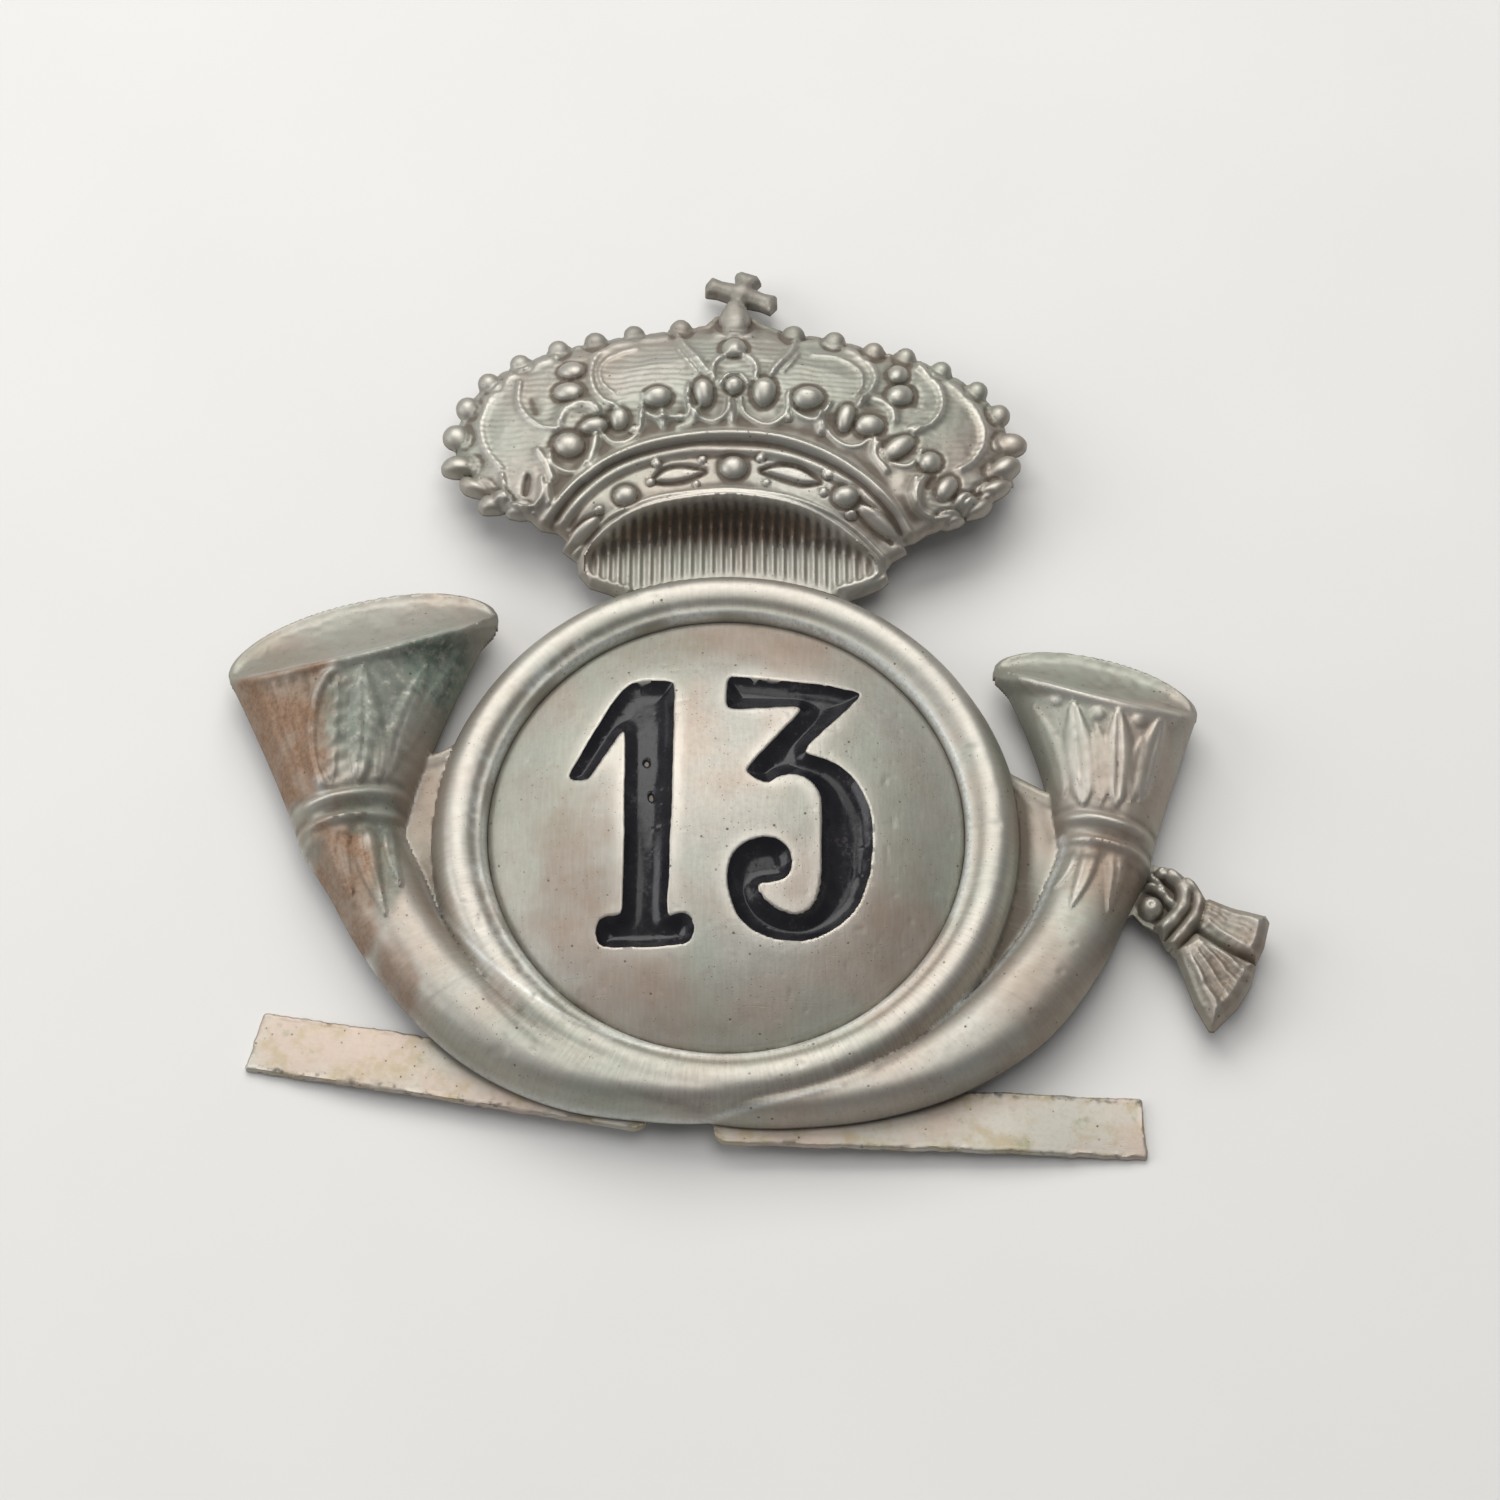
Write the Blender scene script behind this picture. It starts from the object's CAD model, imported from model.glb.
import math
import bpy
import numpy as np
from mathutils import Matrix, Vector


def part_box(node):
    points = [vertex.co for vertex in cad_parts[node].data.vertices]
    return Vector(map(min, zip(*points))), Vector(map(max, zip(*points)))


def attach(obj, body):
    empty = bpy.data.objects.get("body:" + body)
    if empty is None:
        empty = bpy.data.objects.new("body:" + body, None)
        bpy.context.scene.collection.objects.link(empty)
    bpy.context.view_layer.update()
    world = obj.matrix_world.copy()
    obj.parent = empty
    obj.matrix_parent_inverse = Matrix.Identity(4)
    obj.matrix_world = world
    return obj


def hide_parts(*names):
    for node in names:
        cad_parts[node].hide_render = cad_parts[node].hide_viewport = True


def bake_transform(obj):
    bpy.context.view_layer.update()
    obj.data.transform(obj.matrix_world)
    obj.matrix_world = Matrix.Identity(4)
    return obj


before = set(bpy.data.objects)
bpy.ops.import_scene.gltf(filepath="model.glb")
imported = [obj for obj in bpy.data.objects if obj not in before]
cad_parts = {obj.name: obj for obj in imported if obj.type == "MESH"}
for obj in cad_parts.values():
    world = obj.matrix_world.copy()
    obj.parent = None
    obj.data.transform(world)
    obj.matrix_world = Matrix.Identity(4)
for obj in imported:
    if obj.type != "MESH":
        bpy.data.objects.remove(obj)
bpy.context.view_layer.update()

# Visual model of a struck horn-and-crown cap badge with a numbered disc and two bendable strap prongs.
# Each piece is a thin sheet whose relief is a height field over the plan. Fields are numpy arrays: f is the
# signed distance to an outline, positive inside, z is a height, (x, y) is the plan and (u, v) is the plan as
# the camera sees it. All lengths below are in millimetres in the row frame; meshes are made in metres.
MM = 0.001
SHEET = 0.4            # thickness of the struck sheet
BACK_HOLLOW = -0.25    # the back of a sheet is as dull as a hollow this deep
EDGE = 0.34            # height of the cut edge of the sheet
DISC_R = 15.05         # radius at which the ring meets the number disc
DISC_EDGE = 15.02      # outer radius of the dome of the disc
SEAM_Z = 1.6           # height of the seam between disc and ring
DOME_H = 3.7           # rise of the disc above the seam
COIL_H = 2.8           # crest of the ring
RING_R = 18.7          # outer radius of the ring
CROWN_FOOT_Y = 17.0    # the crown leans back from this line
CROWN_LEAN = 2.0 / (38.5 + 0.6 - CROWN_FOOT_Y)     # 2 mm over the depth of the crown

# The camera looks from EYE at AIM, which lies on the plane of the badge's back.
ELEV = math.radians(63.54)
DIST = 270.0
AIM = np.array([1.504, 6.561, 0.0])
EYE = AIM + DIST * np.array([0.0, -math.cos(ELEV), math.sin(ELEV)])
REF_Z = 2.5            # plane on which horn, disc and crown are drawn as seen
TASSEL_REF_Z = 2.0     # plane on which the tassel is drawn as seen
SEEN_V = 0.398         # how far the disc centre is seen below its place, on those planes


def from_view(u, v, z, ref=REF_Z):
    """Point at height z that is seen at (u, v) of the plane z = ref. v is 0 at the disc centre as seen."""
    k = (EYE[2] - z) / (EYE[2] - ref)
    return EYE[0] + (u - EYE[0]) * k, EYE[1] + (v + SEEN_V - EYE[1]) * k


def to_view(x, y, z, ref=REF_Z):
    """Where a point at height z is seen on the plane z = ref."""
    k = (EYE[2] - ref) / (EYE[2] - z)
    return EYE[0] + (x - EYE[0]) * k, EYE[1] + (y - EYE[1]) * k - SEEN_V


# ---------------------------------------------------------------- fields
def sstep(a, b, x):
    """Smooth step from 0 at a to 1 at b."""
    t = np.clip((x - a) / (b - a), 0.0, 1.0)
    return t * t * (3 - 2 * t)


def bump_at(x, at, width):
    """Bell curve of unit height."""
    return np.exp(-((x - at) / width) ** 2)


def smax(a, b, k):
    """Maximum with the crease rounded over k."""
    d = np.maximum(k - np.abs(a - b), 0.0)
    return np.maximum(a, b) + d * d / (4 * k)


def smin(a, b, k):
    return -smax(-a, -b, k)


def hash2(ix, iy, seed):
    """Repeatable value from 0 to 1 for each whole-numbered place."""
    n = (ix.astype(np.int64) * 374761393 + iy.astype(np.int64) * 668265263 + seed * 1442695041) & 0x7FFFFFFF
    n = ((n ^ (n >> 13)) * 1274126177) & 0x7FFFFFFF
    return ((n ^ (n >> 16)) & 0xFFFFF) / float(0xFFFFF)


def noise(x, y, scale, seed):
    """Smooth value noise from -1 to 1 with features of about scale mm."""
    x, y = x / scale + 1000.0, y / scale + 1000.0
    ix, iy = np.floor(x).astype(int), np.floor(y).astype(int)
    fx, fy = sstep(0, 1, x - ix), sstep(0, 1, y - iy)
    a, b = hash2(ix, iy, seed), hash2(ix + 1, iy, seed)
    c, d = hash2(ix, iy + 1, seed), hash2(ix + 1, iy + 1, seed)
    return 2 * ((a * (1 - fx) + b * fx) * (1 - fy) + (c * (1 - fx) + d * fx) * fy) - 1


def segment_dist(x, y, a, d):
    """Distance to the segment from a along d, and the share of the segment at the nearest point."""
    t = np.clip(((x - a[0]) * d[0] + (y - a[1]) * d[1]) / (d @ d + 1e-12), 0, 1)
    return np.hypot(x - a[0] - t * d[0], y - a[1] - t * d[1]), t


def line_dist(x, y, pts):
    """Distance to a polyline, and how far along it the nearest point is, from 0 to 1."""
    pts = np.asarray(pts, float)
    seg = np.hypot(*(pts[1:] - pts[:-1]).T)
    at = np.concatenate([[0], np.cumsum(seg)]) / seg.sum()
    best = np.full(x.shape, 1e9)
    place = np.zeros(x.shape)
    for i in range(len(pts) - 1):
        r, t = segment_dist(x, y, pts[i], pts[i + 1] - pts[i])
        closer = r < best
        best = np.where(closer, r, best)
        place = np.where(closer, at[i] + t * (at[i + 1] - at[i]), place)
    return best, place


def poly_field(x, y, pts):
    """Signed distance to a closed outline, positive inside."""
    pts = np.asarray(pts, float)
    best = np.full(x.shape, 1e9)
    inside = np.zeros(x.shape, bool)
    for i in range(len(pts)):
        a, b = pts[i], pts[(i + 1) % len(pts)]
        best = np.minimum(best, segment_dist(x, y, a, b - a)[0])
        if a[1] != b[1]:
            inside ^= ((a[1] > y) != (b[1] > y)) & (x < (b[0] - a[0]) * (y - a[1]) / (b[1] - a[1]) + a[0])
    return np.where(inside, best, -best)


def curve(pts, n=12):
    """Open Catmull-Rom curve through the points, with n steps between each two."""
    p = np.asarray(pts, float)
    p = np.vstack([2 * p[0] - p[1], p, 2 * p[-1] - p[-2]])
    out = []
    for i in range(1, len(p) - 2):
        t = np.linspace(0, 1, n, endpoint=False)[:, None]
        a, b, c, d = p[i - 1], p[i], p[i + 1], p[i + 2]
        out.append(0.5 * (2 * b + (c - a) * t + (2 * a - 5 * b + 4 * c - d) * t ** 2
                          + (3 * b - a - 3 * c + d) * t ** 3))
    return np.vstack(out + [p[-2][None]])


def soften(pts, r):
    """Closed outline with every corner rounded off in two cuts of at most r."""
    p = np.asarray(pts, float)
    for cut in (r, r * 0.45):
        out = []
        for i in range(len(p)):
            before, corner, after = p[i - 1], p[i], p[(i + 1) % len(p)]
            for q in (before, after):
                far = np.hypot(*(q - corner))
                out.append(corner + (q - corner) * min(cut / max(far, 1e-6), 0.3))
        p = np.array(out)
    return p


def turned(x, y, cx, cy, turn):
    """Coordinates from (cx, cy) along axes turned by so many degrees."""
    c, s = math.cos(math.radians(turn)), math.sin(math.radians(turn))
    return (x - cx) * c + (y - cy) * s, -(x - cx) * s + (y - cy) * c


def oval(x, y, cx, cy, a, b, turn=0.0):
    """Distance from the middle of an oval, 1 on its outline."""
    p, q = turned(x, y, cx, cy, turn)
    return np.hypot(p / a, q / b)


def round_top(q, power=0.5):
    """Dome of unit height over q < 1."""
    return np.clip(1 - q * q, 0, 1) ** power


def ridge(x, y, pts, w, taper=0.0):
    """Rounded raised line of unit height and half width w, optionally thinner at both ends."""
    d, a = line_dist(x, y, pts)
    w = w * (1 - taper * np.abs(2 * a - 1) ** 2)
    return bump_at(d, 0, np.maximum(w, 0.02))


def box_blur(a, r):
    """Mean over a square of 2 r + 1 cells."""
    size = 2 * r + 1
    for axis in (0, 1):
        pad = [(r, r) if k == axis else (0, 0) for k in (0, 1)]
        c = np.insert(np.cumsum(np.pad(a, pad, mode="edge"), axis=axis), 0, 0, axis=axis)
        start = np.arange(a.shape[axis])
        a = (np.take(c, start + size, axis=axis) - np.take(c, start, axis=axis)) / size
    return a


def blur(z, mask, r):
    """Blurred height over the masked grid, for finding hollows."""
    weight = np.maximum(box_blur(mask.astype(float), r), 1e-6)
    for _ in range(2):
        z = box_blur(np.where(mask, z, 0.0), r) / weight
    return z


# ---------------------------------------------------------------- sheet meshes
# How a triangle is cut at f = 0: the signs of its corners, and the triangles kept. A number is a corner, and
# a pair is the vertex where that side is cut.
CUTS_AT_EDGE = (
    ((1, 1, -1), ((0, 1, (1, 2)), (0, (1, 2), (2, 0)))), ((1, -1, -1), ((0, (0, 1), (2, 0)),)),
    ((1, 0, -1), ((0, 1, (2, 0)),)), ((1, -1, 0), ((0, (0, 1), 2),)))


def grid_triangles(nx, ny):
    """Triangles of a grid whose diagonals alternate."""
    i, j = np.meshgrid(np.arange(nx - 1), np.arange(ny - 1), indexing="ij")
    a = (i * ny + j).ravel()
    b, c, d = a + ny, a + ny + 1, a + 1
    flip = ((i + j) % 2 == 0).ravel()
    return np.vstack([np.stack([a, b, c], 1)[flip], np.stack([a, c, d], 1)[flip],
                      np.stack([a, b, d], 1)[~flip], np.stack([b, c, d], 1)[~flip]])


def clip_grid(x, y, f, h):
    """Triangles covering f > 0 on a square grid, with the edge vertices put on f = 0.
    Returns plan positions, the grid index of each kept vertex (-1 on the edge) and triangles."""
    nx, ny = f.shape
    count = nx * ny
    gx, gy = np.gradient(f, h)
    steep = np.maximum(gx * gx + gy * gy, 0.2)
    f = np.where(np.abs(f) < 1e-9, 1e-9, f)
    near = np.abs(f) < 0.28 * h
    px = np.where(near, x - f * gx / steep, x).ravel()
    py = np.where(near, y - f * gy / steep, y).ravel()
    sign = np.where(near, 0, np.sign(f)).astype(int).ravel()
    x, y, f = x.ravel(), y.ravel(), f.ravel()
    tris = grid_triangles(nx, ny)
    tris = tris[(sign[tris] > 0).any(1)]
    sides = []

    def cut(p, q):
        """Numbers below 0 for the vertices on the sides p-q, in the order of sides."""
        first = sum(len(k) for k in sides) + 1
        sides.append(np.minimum(p, q).astype(np.int64) * count + np.maximum(p, q))
        return -(np.arange(len(p)) + first)

    out = [tris[(sign[tris] >= 0).all(1)]]
    for k in range(3):
        t = np.roll(tris, -k, axis=1)
        for signs, kept in CUTS_AT_EDGE:
            chosen = t[(sign[t] == signs).all(1)]
            for corners in kept:
                columns = [cut(*chosen[:, c].T) if isinstance(c, tuple) else chosen[:, c] for c in corners]
                out.append(np.stack(columns, 1))
    tri = np.vstack(out)
    side, where = np.unique(np.concatenate(sides), return_inverse=True)
    lo, hi = side // count, side % count
    w = np.clip(f[lo] / (f[lo] - f[hi]), 0.02, 0.98)
    px = np.concatenate([px, x[lo] + w * (x[hi] - x[lo])])
    py = np.concatenate([py, y[lo] + w * (y[hi] - y[lo])])
    sign = np.concatenate([sign, np.zeros(len(side), int)])
    tri = np.where(tri < 0, count + where[np.clip(-tri - 1, 0, len(where) - 1)], tri)
    used, tri = np.unique(tri, return_inverse=True)
    tri = tri.reshape(-1, 3)
    grid_index = np.where((used < count) & (sign[used] > 0), used, -1)
    whole = (tri[:, 0] != tri[:, 1]) & (tri[:, 1] != tri[:, 2]) & (tri[:, 2] != tri[:, 0])
    return px[used], py[used], grid_index, tri[whole]


def make_mesh(name, verts, faces, attrs=None, sharp=None):
    """Smooth object from points in millimetres, with attributes. Edges past sharp degrees stay sharp."""
    me = bpy.data.meshes.new(name)
    me.vertices.add(len(verts))
    me.vertices.foreach_set("co", (np.asarray(verts) * MM).astype(np.float32).ravel())
    faces = np.asarray(faces)
    me.loops.add(faces.size)
    me.loops.foreach_set("vertex_index", faces.astype(np.int32).ravel())
    me.polygons.add(len(faces))
    k = faces.shape[1]
    me.polygons.foreach_set("loop_start", np.arange(0, faces.size, k, dtype=np.int32))
    me.polygons.foreach_set("loop_total", np.full(len(faces), k, dtype=np.int32))
    me.update(calc_edges=True)
    me.validate()
    me.polygons.foreach_set("use_smooth", np.ones(len(me.polygons), bool))
    for key, val in (attrs or {}).items():
        me.attributes.new(key, "FLOAT", "POINT").data.foreach_set("value", np.asarray(val, np.float32))
    if sharp is not None:
        me.set_sharp_from_angle(angle=math.radians(sharp))
    me.update()
    ob = bpy.data.objects.new(name, me)
    bpy.context.scene.collection.objects.link(ob)
    return ob


def back_of(front, floor, h, thick):
    """Back of a sheet: the highest surface that stays a thickness away from its front."""
    reach = int(math.ceil(thick / h))
    back = np.full(front.shape, 1e9)
    for a in range(-reach, reach + 1):
        for b in range(-reach, reach + 1):
            left = thick * thick - (a * a + b * b) * h * h
            if left >= 0:
                back = np.minimum(back, np.roll(front, (a, b), (0, 1)) - math.sqrt(left))
    return np.maximum(back, floor)


def rim_walls(tri, n):
    """Triangles that close the rim between a front of n vertices and the same back."""
    edges = np.vstack([tri[:, [0, 1]], tri[:, [1, 2]], tri[:, [2, 0]]])
    key = edges.min(1) * n + edges.max(1)
    _, first, count = np.unique(key, return_index=True, return_counts=True)
    p, q = edges[first[count == 1]].T
    return np.vstack([np.stack([p, p + n, q + n], 1), np.stack([p, q + n, q], 1)])


def sheet_piece(name, lo, hi, h, shape, thick=SHEET, place=None, sharp=62, hollow_r=0.9, paint=None,
                more=None):
    """A struck sheet over the plan from lo to hi on a grid of pitch h.
    shape(x, y) gives the outline field, the height of the front and the lowest height allowed there.
    place maps plan and height to the row frame. paint holds functions of the plan for the material's
    attributes; the one named hollow scales what the relief itself gives. more is a further closed part of
    the same piece, as vertices and triangles."""
    x, y = np.meshgrid(np.arange(lo[0], hi[0] + h, h), np.arange(lo[1], hi[1] + h, h), indexing="ij")
    f, z, floor = shape(x, y)
    back = back_of(np.where(f > 0, z, floor), floor, h, thick)
    hollow = z - blur(z, f > 0, max(2, int(round(hollow_r / h))))
    hollow = hollow * sstep(0.3 * hollow_r, 1.9 * hollow_r, f)
    px, py, gi, tri = clip_grid(x, y, f, h)
    _, edge_z, edge_floor = shape(px, py)
    on = gi >= 0
    zb = np.where(on, back.ravel()[gi], edge_floor)
    zf = np.maximum(np.where(on, z.ravel()[gi], edge_z), zb + 0.03)
    at = {"hollow": np.where(on, hollow.ravel()[gi], 0.0)}
    for key, fn in (paint or {}).items():
        at[key] = fn(px, py) * at.get(key, 1.0)
    behind = dict(at, hollow=np.full(len(px), BACK_HOLLOW))
    at = {k: np.concatenate([v, behind[k]]) for k, v in at.items()}
    n = len(px)
    faces = np.vstack([tri, tri[:, ::-1] + n, rim_walls(tri, n)])
    verts = [np.stack([px, py, zf], 1), np.stack([px, py, zb], 1)]
    verts = np.vstack([place(p) for p in verts] if place else verts)
    if more is not None:
        at = {k: np.concatenate([v, np.zeros(len(more[0]))]) for k, v in at.items()}
        verts, faces = np.vstack([verts, more[0]]), np.vstack([faces, more[1] + len(verts)])
    return make_mesh(name, verts, faces, at, sharp)


def lathe(profile, n=240):
    """Closed ring swept round the Z axis from a closed profile of radius and height, given anticlockwise."""
    k = len(profile)
    a = np.arange(n) * 2 * math.pi / n
    r, z = np.array(profile).T
    verts = np.stack([np.outer(np.cos(a), r), np.outer(np.sin(a), r), np.outer(np.ones(n), z)], 2)
    verts = verts.reshape(-1, 3)
    i, j = (g.ravel() for g in np.meshgrid(np.arange(n), np.arange(k), indexing="ij"))
    i2, j2 = (i + 1) % n, (j + 1) % k
    q = np.stack([i * k + j, i2 * k + j, i2 * k + j2, i * k + j2], 1)
    return verts, np.vstack([q[:, [0, 1, 2]], q[:, [0, 2, 3]]])


def slab(outline, z0, z1, c=0.08):
    """Flat plate with chamfered edges from an anticlockwise outline."""
    o = np.array(outline, float)
    k = len(o)
    mid = o.mean(0)
    small = mid + (o - mid) * (1 - c / np.abs(o - mid).max(0))
    rows = [np.c_[ring, np.full(k, z)] for ring, z in ((small, z0), (o, z0 + c), (o, z1 - c), (small, z1))]
    verts = np.vstack(rows + [[[*mid, z0]], [[*mid, z1]]])
    tris = []
    for j in range(k):
        m = (j + 1) % k
        for r in range(3):
            tris += [(r * k + j, r * k + m, (r + 1) * k + m), (r * k + j, (r + 1) * k + m, (r + 1) * k + j)]
        tris += [(4 * k, m, j), (4 * k + 1, 3 * k + j, 3 * k + m)]
    return verts, np.array(tris)


# ---------------------------------------------------------------- horn
def polar(r, a):
    return [r * math.cos(math.radians(a)), r * math.sin(math.radians(a))]


# Along each tube: angle round the disc, radius of the inner edge, radius of the outer edge, crest height.
LEFT_COIL = [
    (292, 15.3, 18.75, 2.7), (270, 15.3, 18.9, 2.75), (256, 15.55, 19.5, 2.8), (240, 15.95, 20.8, 2.85),
    (225, 16.6, 22.0, 2.9), (211, 17.5, 23.0, 2.9), (198, 18.45, 24.1, 2.95), (188, 19.15, 25.35, 3.0)]
RIGHT_COIL = [
    (254, 15.85, 18.6, 1.9), (270, 15.9, 19.2, 2.0), (284, 16.6, 19.9, 2.1), (298, 17.2, 21.1, 2.3),
    (312, 17.9, 22.6, 2.4), (326, 18.5, 24.1, 2.5), (340, 19.5, 25.1, 2.5), (350, 20.2, 25.9, 2.5)]
MOUTH_FRONT = 0.9      # how far the near lip of a mouth stands out, as a share of its depth
COLLAR_RINGS = (0.55, 2.1)     # places of the collar rings, in mm from the collar
COLLAR_WAIST = 1.33
COLLAR_ENDS = (-0.15, 2.75)


class Bell:
    """A flattened bell: collar c0, mouth centre c1, tilts in degrees, half widths and heights at both ends,
    depth of the mouth, and how late its left and right sides flare."""

    def __init__(self, c0, length, slant, tilt, w, h, depth, flare):
        self.c0 = np.array(c0)
        self.c1 = self.c0 + length * np.array(slant)
        self.tilt, self.w, self.h, self.depth, self.length, self.flare = tilt, w, h, depth, length, flare
        t = math.radians(tilt[1])
        self.side = np.array([math.cos(t), math.sin(t)])
        self.axis = np.array([-math.sin(t), math.cos(t)])

    def stations(self):
        """Left edge, right edge, crest height and share of the length, from collar to mouth."""
        out = []
        for s in np.linspace(0, 1, 14):
            t = math.radians(self.tilt[0] + (self.tilt[1] - self.tilt[0]) * s)
            side = np.array([math.cos(t), math.sin(t)])
            left, right = (self.w[0] + (self.w[1] - self.w[0]) * s ** e for e in self.flare)
            c = self.c0 + (self.c1 - self.c0) * s
            out.append([*(c - side * left), *(c + side * right), self.h[0] + (self.h[1] - self.h[0]) * s, s])
        return out

    def mouth(self, x, y):
        """Across and along the mouth, with -1..1 across, and the oval's half chord there."""
        p = ((x - self.c1[0]) * self.side[0] + (y - self.c1[1]) * self.side[1]) / self.w[1]
        q = (x - self.c1[0]) * self.axis[0] + (y - self.c1[1]) * self.axis[1]
        return p, q, np.sqrt(np.clip(1 - p * p, 0, 1))


def coil_stations(coil, start, sweep, left_inside):
    """Stations round the disc, counted from -1 to just before the collar at 0."""
    out = []
    for a, inner, outer, h in coil:
        edges = [*polar(inner, a), *polar(outer, a)] if left_inside else [*polar(outer, a), *polar(inner, a)]
        out.append([*edges, h, -1 + abs(a - start) / sweep * 0.92])
    return out


BELL_L = Bell([-23.55, -0.3], 14.1, [0.006, 1.0], (8, 15), (3.35, 8.9), (3.0, 4.8), 3.25, (1.12, 1.45))
BELL_R = Bell([23.7, -1.9], 12.4, [0.0, 1.0], (-14, -15.2), (2.95, 6.7), (2.6, 3.9), 2.4, (1.9, 1.15))
LEFT_TUBE = curve(coil_stations(LEFT_COIL, 292, 104, False) + BELL_L.stations(), 6)
RIGHT_TUBE = curve(coil_stations(RIGHT_COIL, 254, 96, True) + BELL_R.stations(), 6)


def on_tube(tube, x, y):
    """Station parameter, place across from -1 to 1 (left edge +1), half width and crest height at points."""
    shape = x.shape
    x, y = x.ravel(), y.ravel()
    k, t = np.full(x.size, -9.0), np.full(x.size, 9.0)
    w, h = np.ones(x.size), np.zeros(x.size)
    mid, chord = (tube[:, 0:2] + tube[:, 2:4]) / 2, (tube[:, 0:2] - tube[:, 2:4]) / 2
    half = np.hypot(chord[:, 0], chord[:, 1])
    n = chord / half[:, None]
    ahead = np.stack([n[:, 1], -n[:, 0]], 1)
    for i in range(len(tube) - 1):
        reach = max(half[i], half[i + 1]) * 1.4 + 0.4
        at = np.nonzero((np.abs(x - mid[i, 0]) < reach) & (np.abs(y - mid[i, 1]) < reach))[0]
        d0 = (x[at] - mid[i, 0]) * ahead[i, 0] + (y[at] - mid[i, 1]) * ahead[i, 1]
        d1 = (x[at] - mid[i + 1, 0]) * ahead[i + 1, 0] + (y[at] - mid[i + 1, 1]) * ahead[i + 1, 1]
        between = (d0 >= 0) & (d1 < 0)
        at, q = at[between], (d0 / (d0 - d1 + 1e-12))[between]
        cx, cy = (mid[i] + q[:, None] * (mid[i + 1] - mid[i])).T
        nx, ny = (n[i] + q[:, None] * (n[i + 1] - n[i])).T
        hw = half[i] + q * (half[i + 1] - half[i])
        across = ((x[at] - cx) * nx + (y[at] - cy) * ny) / hw
        better = np.abs(across) < np.abs(t[at])
        at, q = at[better], q[better]
        t[at], w[at] = across[better], hw[better]
        h[at] = tube[i, 4] + q * (tube[i + 1, 4] - tube[i, 4])
        k[at] = tube[i, 5] + q * (tube[i + 1, 5] - tube[i, 5])
    return k.reshape(shape), t.reshape(shape), w.reshape(shape), h.reshape(shape)


def arch(t, w, h, p=2.5, e=0.58):
    """Height across a tube whose foot ends in a narrow lip."""
    lip = 0.02
    u = np.clip(np.abs(t) * w / np.maximum(w - lip, 0.1), 0, 3)
    return np.where(u < 1, h * np.clip(1 - u ** p, 0, 1) ** e, -2.0 * (u - 1))


RING_MID, RING_HALF = (DISC_R + RING_R) / 2, (RING_R - DISC_R) / 2


def ring(x, y):
    """Coiled ring: height, with a bead beside the seam, and distance in from its outer edge."""
    r = np.hypot(x, y)
    a = np.degrees(np.arctan2(y, x))
    crest = COIL_H + 0.05 * noise(a / 14.0, r * 0, 1.0, 3)
    t = (r - RING_MID) / RING_HALF
    inner = SEAM_Z + (crest - SEAM_Z) * np.clip(1 - np.clip(t, -1.05, 0) ** 2, 0, 1) ** 0.75
    inner = inner + 0.12 * bump_at(r, 15.38, 0.17) - 0.10 * bump_at(r, 15.85, 0.22)
    outer = crest * np.clip(1 - np.clip(t / 0.95, 0, 1) ** 2.4, 0, 1) ** 0.6
    return np.where(t < 0, inner, np.where(t > 0.95, -2 * (t - 0.95), outer)), RING_R - r


WEB_L = [
    polar(18.0, 154), polar(18.0, 170), polar(18.0, 195), polar(18.0, 215), polar(18.6, 206),
    polar(20.5, 186), [-21.4, 3], [-20.9, 5.2], [-18.2, 6.3], [-16.6, 7.2]]
WEB_R = [
    polar(18.0, 16), [17.6, 5.0], [20.9, 3.1], [21.6, 0], polar(20.8, 344), polar(19.4, 326),
    polar(18.6, 308), polar(18.0, 300), polar(18.0, 330)]
WEB_L_RIM = np.array([[-20.9, 4.95], [-18.2, 5.95], [-16.2, 7.1]])
WEB_R_RIM = np.array([[17.4, 4.55], [19.2, 3.6], [21.2, 2.5]])


def web(x, y, pts, rim):
    """Flat web with a raised rim on its open side."""
    f = poly_field(x, y, pts)
    z = 0.42 + 0.06 * noise(x, y, 1.6, 8) + 0.24 * ridge(x, y, rim, 0.3)
    z = z + 0.10 * ridge(x, y, rim * 0.965, 0.22)
    return np.where(f > -0.3, z, -1.0), f


def bell_height(b, t, w, h, x, y):
    """Smooth bell body and dished mouth, with a bead round the mouth. Also gives the field of the mouth,
    where it is, and the place across and along it."""
    p, q, e = b.mouth(x, y)
    front, far = -MOUTH_FRONT * b.depth * e, b.depth * e
    body = arch(t, w, h, p=2.3, e=0.6)
    into = 0.5 * (q - front - 0.1 + np.hypot(q - front - 0.1, 0.32))
    tau = np.clip(into / np.maximum(far - front, 0.05), 0, 1)
    top = b.h[1] * np.clip(1 - np.abs(p) ** 2.3, 0, 1) ** 0.6
    dish = top * (1 - tau) ** 1.15 + 0.55 * tau - 0.75 * e * np.sin(math.pi * tau) * (1 - 0.4 * tau)
    dish = np.maximum(dish, 0.45)
    across = np.abs(p) < 1.03
    inside = (q > front) & (q < far + 0.2) & across
    z = body + (dish - body) * np.where(inside | (q <= front), sstep(-0.5, 0.25, q - front) * across, 0)
    z = np.where((q > far + 0.2) & (q > 0), -1.0, z)
    to_rim = np.where(np.abs(p) < 1, np.minimum(np.abs(q - front), np.abs(q - far)), 9) * (0.55 + 0.45 * e)
    f = (1 - np.sqrt(p * p + (np.maximum(q, 0) / b.depth) ** 2)) * b.depth
    return z + 0.32 * bump_at(to_rim, 0, 0.52), np.where(q > front - 0.3, f, -1.0), inside, p, q


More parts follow.
